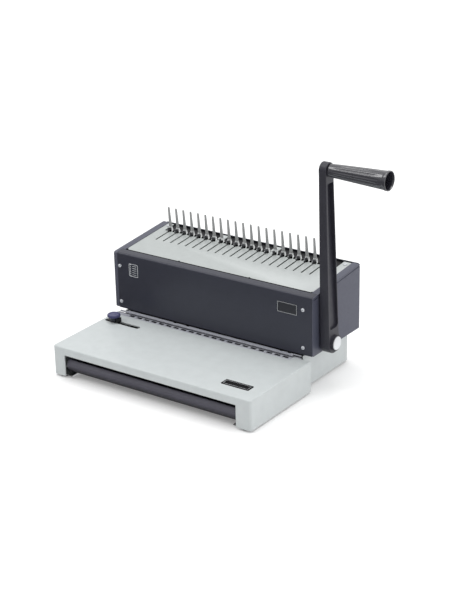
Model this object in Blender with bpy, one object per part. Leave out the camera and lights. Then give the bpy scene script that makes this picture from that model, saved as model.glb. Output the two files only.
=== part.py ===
"""An A4 comb punching and binding machine worked by one side lever.

The paper table is in front (-Y), the casing with the comb opener behind it, and the lever on the right (+X).
Every piece is placed from the machine's mid-plane, its front face and the surface that it stands on.
"""

import math

import bmesh
import bpy

# Overall driving dimensions, in metres.
PITCH = 0.0142875  # 9/16 inch between the holes of a plastic comb
HOLES = 21
FIRST_HOLE_X = -0.1547
GAP = 0.0003  # assembly clearance
RUNNING_FIT = 0.0001  # the shaft in its bushes, on the radius
SHEET = 0.0015  # casing sheet

FOOT_HEIGHT = 0.003
TABLE_WIDTH = 0.359
TABLE_DEPTH = 0.1558
TABLE_FRONT_TOP = 0.0493
TABLE_REAR_TOP = 0.0510
TABLE_WALL = 0.0020
TRAY_OPENING = (-0.158, 0.154, 0.0371)  # left, right, top

CASE_LEFT = -0.1866
CASE_RIGHT = 0.1790
CASE_FRONT = 0.1601
CASE_REAR = 0.2906
CASE_BOTTOM = 0.0552
CASE_TOP_FRONT = 0.1470
CASE_TOP_REAR = 0.1595
SIDE_PAN_DEPTH = 0.0064
BORDER = 0.0138  # width of the casing's front top border
SIDE_BORDER_LEFT = -0.1750
SIDE_BORDER_RIGHT = 0.1680

BASE_HALF_WIDTH = 0.1655
BASE_REAR = 0.2828
BASE_TOP = 0.0546
FLOOR_SHEET = 0.0016

FRAME_INNER = 0.1610
FRAME_THICKNESS = 0.0024
FRAME_FRONT = 0.1640
FRAME_REAR = 0.2760

# The drive: one shaft carries the lever, two punch pinions and two rake sectors.
PIVOT_Y = 0.1908
PIVOT_Z = 0.0715
SHAFT_RADIUS = 0.0050
PRESSURE_ANGLE = math.radians(20)
PINION_MODULE = 0.00125
PINION_TEETH = 13
SECTOR_MODULE = 0.0015
SECTOR_TEETH = 20
BACKLASH = 0.00025
PINION_RADIUS = PINION_MODULE * PINION_TEETH / 2
SECTOR_RADIUS = SECTOR_MODULE * SECTOR_TEETH / 2
LEVER_SWING = math.radians(85)
PUNCH_TRAVEL = PINION_RADIUS * LEVER_SWING
RAKE_TRAVEL = SECTOR_RADIUS * LEVER_SWING
PINION_PLACES = (-0.120, 0.096)

# The throat that the paper's edge goes into.
PIN_Y = 0.1720
DIE_BOTTOM = 0.0460
DIE_TOP = 0.0498
STRIPPER_BOTTOM = 0.0520
STRIPPER_TOP = 0.0536
THROAT_FRONT = 0.1435
THROAT_REAR = 0.1900
HOLE_SIZE = (0.0082, 0.0032)
PIN_SIZE = (0.0076, 0.0026)
SIGHT_SLOT = (0.0098, 0.0056)
SIGHT_SLOT_Y = 0.1508

# The comb plate lies on the casing's sloping deck; u runs back along the deck and w stands square to it.
PLATE_THICKNESS = 0.0012
PLATE_TOP = -0.0008
PLATE_LEFT = -0.1747
PLATE_RIGHT = 0.1677
PLATE_FRONT = 0.0170
BEND_START = 0.1013
BEND_RADIUS = 0.0040
FINGER_TOP = 0.0390
SLOT_FRONT = 0.0657
SLOT_WIDTH = 0.0028
NOTCH_FRONT = 0.0995
NOTCH_PEAK = 0.0052
RELIEF_PLACES = (-0.0734, 0.0567)
RELIEF_RADIUS = 0.0022
SHELF_FRONT = 0.1090
RIM_FRONT = 0.1282
RAKE_BOTTOM = -0.0093
RAKE_TOP = -0.0033

# The lever.
ARM_INNER = 0.1815
ARM_OUTER = 0.1970
ARM_OUTER_TOP = 0.1935
RECESS_LOW = (0.0240, 0.1928)  # height above the pivot and x of the recess's floor at its lower end
RECESS_HIGH = (0.2440, 0.1868)
HUB_RADIUS = 0.0160
COLLAR_RADIUS = 0.0117
COLLAR_END = 0.2012
CAP_RADIUS = 0.0101
GRIP_Y = -0.0098  # from the pivot
GRIP_Z = 0.2631
GRIP_START = 0.1953
GRIP_END = 0.2885

SCREW_HEAD_RADIUS = 0.0028
SCREW_HEAD_HEIGHT = 0.0023
SCREW_SHANK_RADIUS = 0.0016
SCREW_HOLE_RADIUS = 0.0019

# The edge guide.
GUIDE_Y = 0.1180
KNOB_X = -0.1573

# The origin is the middle of the machine's bounding box, on the surface that it stands on.
MID_X = -(CASE_LEFT + GRIP_END) / 2
FRONT_Y = -(CASE_REAR + GAP + SCREW_HEAD_HEIGHT) / 2

TABLE_SLOPE = math.atan2(TABLE_REAR_TOP - TABLE_FRONT_TOP, TABLE_DEPTH)
DECK_SLOPE = math.atan2(CASE_TOP_REAR - CASE_TOP_FRONT, CASE_REAR - CASE_FRONT)
PLATE_BOTTOM = PLATE_TOP - PLATE_THICKNESS
HOLE_PLACES = [FIRST_HOLE_X + PITCH * i for i in range(HOLES)]
TAB_PLACES = (
    HOLE_PLACES[6] + PITCH / 2,
    HOLE_PLACES[13] + PITCH / 2,
)


# Outlines -------------------------------------------------------------------------------------------


def arc(centre, radius, start, end, steps):
    """Points along an arc, with its angles in degrees."""
    points = []
    for i in range(steps + 1):
        angle = math.radians(start + (end - start) * i / steps)
        points.append((centre[0] + radius * math.cos(angle), centre[1] + radius * math.sin(angle)))
    return points


def rounded(corners, steps=4):
    """An outline from (a, b, radius) corners, each rounded by its own radius."""
    points = []
    for i, (a, b, radius) in enumerate(corners):
        if radius == 0:
            points.append((a, b))
            continue
        before = corners[i - 1]
        after = corners[(i + 1) % len(corners)]
        into = unit(before[0] - a, before[1] - b)
        out = unit(after[0] - a, after[1] - b)
        half = math.acos(into[0] * out[0] + into[1] * out[1]) / 2
        reach = radius / math.tan(half)
        middle = unit(into[0] + out[0], into[1] + out[1])
        centre = (a + middle[0] * radius / math.sin(half), b + middle[1] * radius / math.sin(half))
        first = (a + into[0] * reach, b + into[1] * reach)
        last = (a + out[0] * reach, b + out[1] * reach)
        start = math.atan2(first[1] - centre[1], first[0] - centre[0])
        turn = math.atan2(last[1] - centre[1], last[0] - centre[0]) - start
        turn = (turn + math.pi) % (2 * math.pi) - math.pi
        for k in range(steps + 1):
            angle = start + turn * k / steps
            points.append((centre[0] + radius * math.cos(angle), centre[1] + radius * math.sin(angle)))
    return points


def unit(a, b):
    length = math.hypot(a, b)
    return a / length, b / length


def rectangle(low, high, radius=0.0, steps=4):
    corners = [
        (low[0], low[1], radius),
        (high[0], low[1], radius),
        (high[0], high[1], radius),
        (low[0], high[1], radius),
    ]
    return rounded(corners, steps)


def circle(centre, radius, steps=24):
    return arc(centre, radius, 0, 360, steps)[:-1]


def gear_outline(teeth, module, first, last):
    """An involute outline with teeth first to last - 1. Tooth 0 points along the first axis."""
    pitch_radius = module * teeth / 2
    base_radius = pitch_radius * math.cos(PRESSURE_ANGLE)
    tip_radius = pitch_radius + 0.8 * module
    root_radius = pitch_radius - 1.05 * module
    half_at_pitch = (math.pi * module / 2 - BACKLASH) / (2 * pitch_radius)
    start_radius = max(base_radius, root_radius)
    flank = []
    for i in range(4):
        radius = start_radius + (tip_radius - start_radius) * i / 3
        flank.append((radius, half_at_pitch + involute(1.0) - involute(base_radius / radius)))
    points = []
    for tooth in range(first, last):
        middle = 2 * math.pi * tooth / teeth
        side = [(root_radius, flank[0][1])] + flank if root_radius < base_radius else flank
        for radius, half in side:
            points.append((radius * math.cos(middle - half), radius * math.sin(middle - half)))
        for radius, half in reversed(side):
            points.append((radius * math.cos(middle + half), radius * math.sin(middle + half)))
    return points


def involute(ratio):
    """The involute function of the angle whose cosine is ratio; 1.0 stands for the pressure angle."""
    angle = PRESSURE_ANGLE if ratio == 1.0 else math.acos(min(1.0, ratio))
    return math.tan(angle) - angle


def rack_outline(module, low, high, back):
    """A rack along the second axis, teeth towards +first, pitch line at 0 and a space centred on 0."""
    pitch = math.pi * module
    addendum = 0.7 * module
    dedendum = 1.1 * module
    lean = math.tan(PRESSURE_ANGLE)
    half = (pitch / 2 - BACKLASH) / 2
    points = [(-back, high), (-back, low), (-dedendum, low)]
    tooth = math.ceil((low + half + lean * dedendum) / pitch - 0.5)
    while (tooth + 0.5) * pitch + half + lean * dedendum < high:
        middle = (tooth + 0.5) * pitch
        points.append((-dedendum, middle - half - lean * dedendum))
        points.append((addendum, middle - half + lean * addendum))
        points.append((addendum, middle + half - lean * addendum))
        points.append((-dedendum, middle + half + lean * dedendum))
        tooth += 1
    points.append((-dedendum, high))
    return points


# Solids ---------------------------------------------------------------------------------------------


def prism(outline, axis, low, high):
    """An outline drawn in the two axes that aren't axis, in X, Y, Z order, extruded along axis."""
    place = {
        "X": lambda a, b, c: (c, a, b),
        "Y": lambda a, b, c: (a, c, b),
        "Z": lambda a, b, c: (a, b, c),
    }[axis]
    mesh = bmesh.new()
    near = [mesh.verts.new(place(a, b, low)) for a, b in outline]
    far = [mesh.verts.new(place(a, b, high)) for a, b in outline]
    mesh.faces.new(near)
    mesh.faces.new(far)
    for i in range(len(outline)):
        j = (i + 1) % len(outline)
        mesh.faces.new((near[i], near[j], far[j], far[i]))
    bmesh.ops.recalc_face_normals(mesh, faces=mesh.faces)
    return mesh


def box(low, high):
    return prism(rectangle(low[:2], high[:2]), "Z", low[2], high[2])


def turned(profile, centre=(0.0, 0.0), axis="X", steps=24, tube=False):
    """A profile of (place along axis, radius) points turned about the axis through centre."""
    place = {
        "X": lambda along, a, b: (along, centre[0] + a, centre[1] + b),
        "Z": lambda along, a, b: (centre[0] + a, centre[1] + b, along),
    }[axis]
    mesh = bmesh.new()
    rings = []
    for along, radius in profile:
        if radius == 0:
            rings.append([mesh.verts.new(place(along, 0, 0))] * steps)
            continue
        ring = []
        for i in range(steps):
            angle = 2 * math.pi * i / steps
            ring.append(mesh.verts.new(place(along, radius * math.cos(angle), radius * math.sin(angle))))
        rings.append(ring)
    pairs = list(zip(rings, rings[1:]))
    if tube:
        pairs.append((rings[-1], rings[0]))
    for first, second in pairs:
        for i in range(steps):
            j = (i + 1) % steps
            corners = [first[i], first[j], second[j], second[i]]
            corners = list(dict.fromkeys(corners))
            if len(corners) > 2:
                mesh.faces.new(corners)
    bmesh.ops.recalc_face_normals(mesh, faces=mesh.faces)
    return mesh


def lofted(rings):
    """A closed solid through rings of points, each ring with the same number of points."""
    mesh = bmesh.new()
    loops = [[mesh.verts.new(point) for point in ring] for ring in rings]
    mesh.faces.new(loops[0])
    mesh.faces.new(loops[-1])
    for first, second in zip(loops, loops[1:]):
        for i in range(len(first)):
            j = (i + 1) % len(first)
            mesh.faces.new((first[i], first[j], second[j], second[i]))
    bmesh.ops.recalc_face_normals(mesh, faces=mesh.faces)
    return mesh


def together(solids):
    """One mesh that holds several solids."""
    whole = bmesh.new()
    for solid in solids:
        data = bpy.data.meshes.new("piece")
        solid.to_mesh(data)
        solid.free()
        whole.from_mesh(data)
        bpy.data.meshes.remove(data)
    return whole


# Objects --------------------------------------------------------------------------------------------


def clear_scene():
    for obj in list(bpy.data.objects):
        bpy.data.objects.remove(obj)


def material(name, color, roughness, metallic=0.0):
    made = bpy.data.materials.new(name)
    made.use_nodes = True
    shader = made.node_tree.nodes["Principled BSDF"]
    shader.inputs["Base Color"].default_value = (*color, 1.0)
    shader.inputs["Roughness"].default_value = roughness
    shader.inputs["Metallic"].default_value = metallic
    return made


def empty(name, location, parent=None, tilt=0.0):
    made = bpy.data.objects.new(name, None)
    made.location = location
    made.rotation_euler.x = tilt
    made.parent = parent
    bpy.context.scene.collection.objects.link(made)
    return made


def piece(name, mesh, look, parent):
    data = bpy.data.meshes.new(name)
    mesh.to_mesh(data)
    mesh.free()
    data.shade_smooth()
    data.set_sharp_from_angle(angle=math.radians(35))
    made = bpy.data.objects.new(name, data)
    made.parent = parent
    bpy.context.scene.collection.objects.link(made)
    if look:
        data.materials.append(look)
    return made


def combine(target, mesh, operation, parent=None):
    name = f"{target.name}_{operation.lower()}_{len(target.modifiers)}"
    helper = piece(name, mesh, None, parent or target.parent)
    helper.hide_render = True
    helper.display_type = "WIRE"
    boolean = target.modifiers.new(operation.title(), "BOOLEAN")
    boolean.operation = operation
    boolean.solver = "EXACT"
    boolean.object = helper


def cut(target, mesh, parent=None):
    combine(target, mesh, "DIFFERENCE", parent)


def join(target, mesh, parent=None):
    combine(target, mesh, "UNION", parent)


# Base and table -------------------------------------------------------------------------------------


def table_top(y):
    return TABLE_FRONT_TOP + (TABLE_REAR_TOP - TABLE_FRONT_TOP) * y / TABLE_DEPTH


def table_ring(inset, drop=None):
    """The table's outline, inset, at the foot of its walls or a drop below its top."""
    half = TABLE_WIDTH / 2 - inset
    front = max(0.0045 - inset, 0.0010)
    back = max(0.0030 - inset, 0.0010)
    outline = rounded(
        [
            (-half, inset, front),
            (half, inset, front),
            (half, TABLE_DEPTH - inset, back),
            (-half, TABLE_DEPTH - inset, back),
        ]
    )
    if drop is None:
        return [(x, y, FOOT_HEIGHT) for x, y in outline]
    return [(x, y, table_top(y) - drop) for x, y in outline]


def base_table(look, machine, table):
    """A folded sheet table, open below, with the chip tray's opening in front."""
    edge = 0.0022
    rings = [table_ring(0), table_ring(0, edge)]
    for i in range(1, 4):
        angle = math.radians(30 * i)
        rings.append(table_ring(edge * (1 - math.cos(angle)), edge * (1 - math.sin(angle))))
    made = piece("base_table", lofted(rings), look, machine)
    inside = [[(x, y, z - 0.001) for x, y, z in table_ring(TABLE_WALL)], table_ring(TABLE_WALL, TABLE_WALL)]
    cut(made, lofted(inside))
    left, right, top = TRAY_OPENING
    cut(made, prism(rectangle((left, 0.0), (right, top), 0.0010, 2), "Y", -0.002, 0.010))
    cut(made, box((-0.1645, 0.150, 0.0), (0.1645, 0.160, 0.0440)))
    pocket = box((-0.1743, THROAT_FRONT - GAP, -0.006), (0.1483, 0.160, 0.003))
    slot = prism(rectangle((-0.1740, 0.1137), (-0.1075, 0.1223), 0.0040), "Z", -0.006, 0.002)
    cut(made, together([pocket, slot]), table)
    finger_recess = prism(rounded_end(0.1400, 0.1680, 0.1450, 0.1590), "Z", -0.0011, 0.002)
    plate_recess = prism(rectangle((0.1100, 0.0255), (0.1580, 0.0415), 0.0020), "Z", -0.0006, 0.002)
    cut(made, together([finger_recess, plate_recess]), table)
    return made


def rounded_end(left, right, front, back):
    radius = (back - front) / 2 - 0.0001
    return rounded([(left, front, 0), (right, front, radius), (right, back, radius), (left, back, 0)])


def name_plate(look, table):
    """The blank inlay in the table's front right corner."""
    mesh = prism(rectangle((0.1103, 0.0258), (0.1577, 0.0412), 0.0017), "Z", -0.0003, 0.0004)
    return piece("name_plate", mesh, look, table)


def base_rear(look, machine):
    """The wall round the foot of the machine, under the casing."""
    half = BASE_HALF_WIDTH
    wall = 0.0018
    front = 0.1563
    outline = rounded(
        [
            (half, front, 0),
            (half, BASE_REAR, 0.006),
            (-half, BASE_REAR, 0.006),
            (-half, front, 0),
            (-half + wall, front, 0),
            (-half + wall, BASE_REAR - wall, 0.0042),
            (half - wall, BASE_REAR - wall, 0.0042),
            (half - wall, front, 0),
        ]
    )
    return piece("base_rear", prism(outline, "Z", FOOT_HEIGHT, BASE_TOP), look, machine)


def base_plate(look, machine):
    """The floor plate. Its two front legs are the ledges that the chip tray slides on."""
    side = TABLE_WIDTH / 2 - TABLE_WALL - 0.0015
    ledge = 0.147
    inner = BASE_HALF_WIDTH - 0.0021
    back = 0.1535
    rear = BASE_REAR - 0.0021
    outline = rounded(
        [
            (-side, 0.003, 0.001),
            (-ledge, 0.003, 0.001),
            (-ledge, 0.070, 0.004),
            (ledge, 0.070, 0.004),
            (ledge, 0.003, 0.001),
            (side, 0.003, 0.001),
            (side, back, 0.001),
            (inner, back, 0),
            (inner, rear, 0.0042),
            (-inner, rear, 0.0042),
            (-inner, back, 0),
            (-side, back, 0.001),
        ]
    )
    low = FOOT_HEIGHT + GAP
    return piece("base_plate", prism(outline, "Z", low, low + FLOOR_SHEET), look, machine)


def feet(look, machine):
    places = {
        "foot_front_left": (-0.1665, 0.0105),
        "foot_front_right": (0.1665, 0.0105),
        "foot_rear_left": (-0.1480, 0.2660),
        "foot_rear_right": (0.1480, 0.2660),
    }
    for name, place in places.items():
        profile = [(0.0, 0), (0.0, 0.0070), (0.0008, 0.0078), (FOOT_HEIGHT, 0.0078), (FOOT_HEIGHT, 0)]
        piece(name, turned(profile, place, "Z"), look, machine)


def chip_tray(look, machine):
    """A pull-out tray with a bulging front, open on top under the die."""
    low = FOOT_HEIGHT + GAP + FLOOR_SHEET + GAP
    top = 0.0284
    front = 0.0030
    back = 0.1980
    wall = 0.0018
    bulge = rounded(
        [
            (front + 0.0045, top, 0),
            (front, top - 0.006, 0.0040),
            (front - 0.0006, 0.0190, 0.0120),
            (front + 0.0050, low + 0.0040, 0.0060),
            (front + 0.0160, low, 0.0060),
            (back, low, 0.0020),
            (back, top, 0),
        ]
    )
    left = -0.1560
    right = 0.1520
    made = piece("chip_tray", prism(bulge, "X", left, right), look, empty("tray_slide", (0, 0, 0), machine))
    inside = rounded(
        [
            (front + 0.0045 + wall, top + 0.002, 0),
            (front + 0.0045 + wall, top - 0.001, 0),
            (front + wall, top - 0.0068, 0.0030),
            (front - 0.0006 + wall, 0.0190, 0.0100),
            (front + 0.0050 + wall, low + 0.0046, 0.0045),
            (front + 0.0160, low + wall, 0.0045),
            (back - wall, low + wall, 0.0010),
            (back - wall, top + 0.002, 0),
        ]
    )
    cut(made, prism(inside, "X", left + wall, right - wall))
    return made


# Edge guide -----------------------------------------------------------------------------------------


def edge_guide(looks, machine):
    """A tongue in the table's slot with a fence, clamped by a knob, its stud and a nut below."""
    slide = empty("guide_slide", (KNOB_X, GUIDE_Y, table_top(GUIDE_Y)), machine)
    half = 0.0038
    tongue = piece(
        "edge_guide",
        prism(rectangle((-0.0142, -half), (0.0080, half), 0.0026), "Z", -0.0050, 0.0012),
        looks["black"],
        slide,
    )
    join(tongue, box((0.0072, -0.0042, 0.0006), (0.0112, 0.0042, 0.0076)))
    cut(tongue, prism(circle((0, 0), 0.0023, 16), "Z", -0.010, 0.010))
    plate = box((-0.0100, -0.0080, -0.0084), (0.0100, 0.0080, -0.0053))
    nut = piece("edge_guide_nut", plate, looks["steel"], slide)
    cut(nut, prism(circle((0, 0), 0.0023, 16), "Z", -0.012, 0.0))
    axis = empty("knob_axis", (0, 0, 0), slide)
    profile = [
        (0.0015, 0.0055),
        (0.0077, 0.0055),
        (0.0082, 0.0092),
        (0.0092, 0.0102),
        (0.0115, 0.0102),
        (0.0124, 0.0094),
        (0.0121, 0.0080),
        (0.0128, 0.0),
    ]
    knob = piece("edge_guide_knob", turned([(0.0015, 0.0)] + profile, (0, 0), "Z"), looks["knob"], axis)
    cut(knob, prism(circle((0, 0), 0.0023, 16), "Z", -0.001, 0.0075))
    stud = [(-0.0110, 0), (-0.0110, 0.0016), (-0.0104, 0.0020), (0.0072, 0.0020), (0.0072, 0)]
    piece("edge_guide_stud", turned(stud, (0, 0), "Z", 16), looks["steel"], axis)


# Throat and punch -----------------------------------------------------------------------------------


def hole_cutters(size, y, low, high, offset=0.0):
    half_x = size[0] / 2
    half_y = size[1] / 2
    cutters = []
    for x in HOLE_PLACES:
        centre = x + offset
        cutters.append(box((centre - half_x, y - half_y, low), (centre + half_x, y + half_y, high)))
    return together(cutters)


def die_plate(look, machine):
    """The lower plate: die holes under the pins, and sight slots in the part before the casing."""
    end = FRAME_INNER - GAP
    step = 0.1560
    outline = rounded(
        [
            (-0.1740, THROAT_FRONT, 0.0010),
            (0.1480, THROAT_FRONT, 0.0010),
            (0.1480, step, 0),
            (end, step, 0),
            (end, THROAT_REAR, 0),
            (-end, THROAT_REAR, 0),
            (-end, step, 0),
            (-0.1740, step, 0),
        ]
    )
    made = piece("die_plate", prism(outline, "Z", DIE_BOTTOM, DIE_TOP), look, machine)
    cut(made, hole_cutters(HOLE_SIZE, PIN_Y, 0.040, 0.055))
    cut(made, hole_cutters(SIGHT_SLOT, SIGHT_SLOT_Y, 0.040, 0.055, PITCH / 2))
    return made


def stripper_plate(look, machine):
    """The upper plate of the throat, which pulls the paper off the pins. A gap parts off its front lip."""
    end = FRAME_INNER - GAP
    outline = [
        (-end, 0.1558),
        (-0.1735, 0.1558),
        (-0.1735, 0.1530),
        (0.1480, 0.1530),
        (0.1480, 0.1580),
        (end, 0.1580),
        (end, THROAT_REAR),
        (-end, THROAT_REAR),
    ]
    made = piece("stripper_plate", prism(outline, "Z", STRIPPER_BOTTOM, STRIPPER_TOP), look, machine)
    cut(made, hole_cutters(HOLE_SIZE, PIN_Y, 0.050, 0.056))
    gap = [(-0.1570, 0.1593)]
    for x in (-0.0700, -0.0460, 0.1250, 0.1395):
        gap += [(x - 0.0030, 0.1593), (x - 0.0022, 0.1575), (x + 0.0022, 0.1575), (x + 0.0030, 0.1593)]
    gap += [(0.1455, 0.1593), (0.1455, 0.1640), (-0.1570, 0.1640)]
    cut(made, prism(gap, "Z", 0.050, 0.056))
    return made


def throat_fillers(look, machine):
    """The strip that stops the paper behind the pins, and the spacers that keep the throat open."""
    low = DIE_TOP + GAP
    high = STRIPPER_BOTTOM - GAP
    piece("paper_stop", box((-0.1560, 0.1768, low), (0.1560, 0.1815, high)), look, machine)
    piece("throat_spacer_left", box((-0.1600, 0.1822, low), (-0.1420, 0.1895, high)), look, machine)
    piece("throat_spacer_right", box((0.1420, 0.1822, low), (0.1600, 0.1895, high)), look, machine)


def punch_comb(look, slide):
    """The ram: a bar with one pin for each hole and a tongue at each end that the frames guide."""
    bar_bottom = 0.0673
    bar_top = 0.0830
    end = FRAME_INNER - GAP
    made = piece("punch_comb", box((-end, 0.1668, bar_bottom), (end, 0.1775, bar_top)), look, slide)
    tongues = [
        box((-0.1650, 0.1690, bar_bottom + 0.001), (-end + 0.002, 0.1760, bar_top - 0.001)),
        box((end - 0.002, 0.1690, bar_bottom + 0.001), (0.1650, 0.1760, bar_top - 0.001)),
    ]
    join(made, together(tongues))
    pins = []
    for x in HOLE_PLACES:
        low = (x - PIN_SIZE[0] / 2, PIN_Y - PIN_SIZE[1] / 2, 0.0526)
        pins.append(box(low, (x + PIN_SIZE[0] / 2, PIN_Y + PIN_SIZE[1] / 2, bar_bottom + 0.002)))
    join(made, together(pins))
    return made


def punch_racks(look, slide):
    """Two racks on the back of the ram, in mesh with the pinions."""
    pitch_y = PIVOT_Y - PINION_RADIUS
    for name, x in zip(("punch_rack_left", "punch_rack_right"), PINION_PLACES):
        outline = rack_outline(PINION_MODULE, -0.0045, PUNCH_TRAVEL + 0.0040, pitch_y - 0.1778)
        placed = [(pitch_y + a, PIVOT_Z + b) for a, b in outline]
        piece(name, prism(placed, "X", x - 0.005, x + 0.005), look, slide)


# Comb opener ----------------------------------------------------------------------------------------


def comb_plate_section():
    """The bent sheet's section in u and w."""
    inner = arc((BEND_START, PLATE_TOP + BEND_RADIUS), BEND_RADIUS, -90, 0, 4)
    outer = arc((BEND_START, PLATE_TOP + BEND_RADIUS), BEND_RADIUS + PLATE_THICKNESS, 0, -90, 4)
    back = BEND_START + BEND_RADIUS + PLATE_THICKNESS
    front = BEND_START + BEND_RADIUS
    tip = [(front, FINGER_TOP), (back, FINGER_TOP)]
    return [(PLATE_FRONT, PLATE_TOP), *inner, *tip, *outer, (PLATE_FRONT, PLATE_BOTTOM)]


def finger_side(x, side):
    """One side of a finger, from below the plate to above its tip, as half widths and heights."""
    steps = [
        (0.0048, -0.0050),
        (0.0048, 0.0006),
        (0.0040, 0.0022),
        (0.0032, 0.0040),
        (0.0029, 0.0062),
        (0.0026, 0.0095),
        (0.0016, 0.0378),
        (0.0007, 0.0390),
        (0.0007, 0.0420),
    ]
    return [(x + side * width, height) for width, height in steps]


def finger_gaps():
    """What is cut away between the fingers and beyond the first and the last."""
    back = BEND_START + 0.008
    gaps = []
    for first, second in zip(HOLE_PLACES, HOLE_PLACES[1:]):
        outline = finger_side(first, 1) + finger_side(second, -1)[::-1]
        gaps.append(prism(outline, "Y", BEND_START, back))
    left = [(PLATE_LEFT - 0.002, -0.005)] + finger_side(HOLE_PLACES[0], -1) + [(PLATE_LEFT - 0.002, 0.042)]
    right = [(PLATE_RIGHT + 0.002, -0.005)] + finger_side(HOLE_PLACES[-1], 1) + [(PLATE_RIGHT + 0.002, 0.042)]
    gaps.append(prism(left, "Y", BEND_START, back))
    gaps.append(prism(right, "Y", BEND_START, back))
    return together(gaps)


def comb_plate(look, deck):
    """The top plate: a slot for each hook, which ends in a notch under a finger bent up from the plate."""
    made = piece("comb_plate", prism(comb_plate_section(), "X", PLATE_LEFT, PLATE_RIGHT), look, deck)
    cut(made, finger_gaps())
    half = SLOT_WIDTH / 2
    notches = []
    slots = []
    for x in HOLE_PLACES:
        notch = [(x - 0.0058, -0.0040), (x + 0.0058, -0.0040), (x, NOTCH_PEAK)]
        notches.append(prism(notch, "Y", NOTCH_FRONT, 0.108))
        slots.append(box((x - half, SLOT_FRONT, -0.004), (x + half, NOTCH_FRONT + 0.0005, 0.002)))
    cut(made, together(notches))
    cut(made, together(slots))
    cut(made, plate_reliefs())
    tabs = [
        box((PLATE_LEFT, 0.0990, PLATE_BOTTOM), (-0.1640, 0.1265, PLATE_TOP)),
        box((0.1545, 0.0990, PLATE_BOTTOM), (PLATE_RIGHT, 0.1265, PLATE_TOP)),
    ]
    for x in TAB_PLACES:
        neck = 0.0025
        head = 0.0055
        outline = [
            (x - neck, 0.0990),
            (x + neck, 0.0990),
            (x + neck, 0.1092),
            (x + head, 0.1110),
            (x + head, 0.1265),
            (x - head, 0.1265),
            (x - head, 0.1110),
            (x - neck, 0.1092),
        ]
        tabs.append(prism(outline, "Z", PLATE_BOTTOM, PLATE_TOP))
    join(made, together(tabs))
    cut(made, plate_screw_holes())
    return made


def plate_reliefs():
    """Small half-round notches in the plate's front edge, and a square one at each front corner."""
    reliefs = [prism(circle((x, PLATE_FRONT), RELIEF_RADIUS, 12), "Z", -0.006, 0.002) for x in RELIEF_PLACES]
    front = PLATE_FRONT - 0.0020
    back = PLATE_FRONT + 0.0028
    for corner, side in ((PLATE_LEFT, -1), (PLATE_RIGHT, 1)):
        low = min(corner + side * 0.0020, corner - side * 0.0030)
        reliefs.append(box((low, front, -0.006), (low + 0.0050, back, 0.002)))
    return together(reliefs)


def plate_screw_places():
    return {
        "plate_screw_left": (-0.1693, 0.1180),
        "plate_screw_mid_left": (TAB_PLACES[0], 0.1180),
        "plate_screw_mid_right": (TAB_PLACES[1], 0.1180),
        "plate_screw_right": (0.1611, 0.1180),
    }


def plate_screw_holes():
    holes = []
    for place in plate_screw_places().values():
        holes.append(prism(circle(place, SCREW_HOLE_RADIUS, 12), "Z", -0.006, 0.002))
    return together(holes)


def comb_rake(look, slide):
    """A bar under the plate with a hook through each slot. It slides on the frames' top edges."""
    front = 0.0915
    back = 0.1035
    made = piece("comb_rake", box((-0.1708, front, RAKE_BOTTOM), (0.1705, back, RAKE_TOP)), look, slide)
    hook = [
        (0.0995, -0.0050),
        (0.1033, -0.0050),
        (0.1033, 0.0012),
        (0.1028, 0.0038),
        (0.1014, 0.0054),
        (0.0985, 0.0057),
        (0.0974, 0.0050),
        (0.0976, 0.0041),
        (0.0990, 0.0034),
        (0.0995, 0.0016),
    ]
    half = SLOT_WIDTH / 2 - GAP
    join(made, together([prism(hook, "X", x - half, x + half) for x in HOLE_PLACES]))
    return made


def rake_legs(look, slide):
    """A side plate at each end of the rake, with the rack that its sector drives."""
    cos_slope = math.cos(DECK_SLOPE)
    sin_slope = math.sin(DECK_SLOPE)
    back_y = PIVOT_Y - CASE_FRONT
    up_z = PIVOT_Z - CASE_TOP_FRONT
    axis_u = back_y * cos_slope + up_z * sin_slope
    pitch_w = -back_y * sin_slope + up_z * cos_slope + SECTOR_RADIUS
    teeth = rack_outline(SECTOR_MODULE, -0.0032, RAKE_TRAVEL + 0.0045, 0.0085)
    rack = [(axis_u + along, pitch_w - out) for out, along in teeth]
    top = pitch_w + 0.0085
    rack_end = axis_u + RAKE_TRAVEL + 0.0045
    for name, low in (("rake_leg_left", -0.1708), ("rake_leg_right", 0.1665)):
        made = piece(name, prism(rack, "X", low, low + 0.0040), look, slide)
        leg = [
            (rack_end - 0.0060, top - 0.0060),
            (0.1030, top - 0.0060),
            (0.1030, RAKE_BOTTOM - GAP),
            (0.0920, RAKE_BOTTOM - GAP),
            (0.0920, top + 0.0020),
            (rack_end - 0.0060, top - 0.0002),
        ]
        join(made, prism(leg, "X", low + 0.0001, low + 0.0039))


# Drive ----------------------------------------------------------------------------------------------


def frames(look, machine):
    """Two inner side plates. Each guides the ram in a slot and holds the shaft's bush."""
    rise = (CASE_TOP_REAR - CASE_TOP_FRONT) / (CASE_REAR - CASE_FRONT)
    below = (RAKE_BOTTOM - GAP) / math.cos(DECK_SLOPE)

    def top(y):
        return CASE_TOP_FRONT + (y - CASE_FRONT) * rise + below

    low = FOOT_HEIGHT + FLOOR_SHEET + 2 * GAP
    outline = [
        (FRAME_FRONT, low),
        (FRAME_REAR, low),
        (FRAME_REAR, top(FRAME_REAR)),
        (FRAME_FRONT, top(FRAME_FRONT)),
    ]
    for name, start in (("frame_left", -FRAME_INNER - FRAME_THICKNESS), ("frame_right", FRAME_INNER)):
        made = piece(name, prism(outline, "X", start, start + FRAME_THICKNESS), look, machine)
        guide = rectangle((0.1687, 0.0540), (0.1763, 0.0840))
        bore = circle((PIVOT_Y, PIVOT_Z), 0.0083)
        cutters = [prism(hole, "X", start - 0.002, start + 0.006) for hole in (guide, bore)]
        cut(made, together(cutters))


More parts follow.
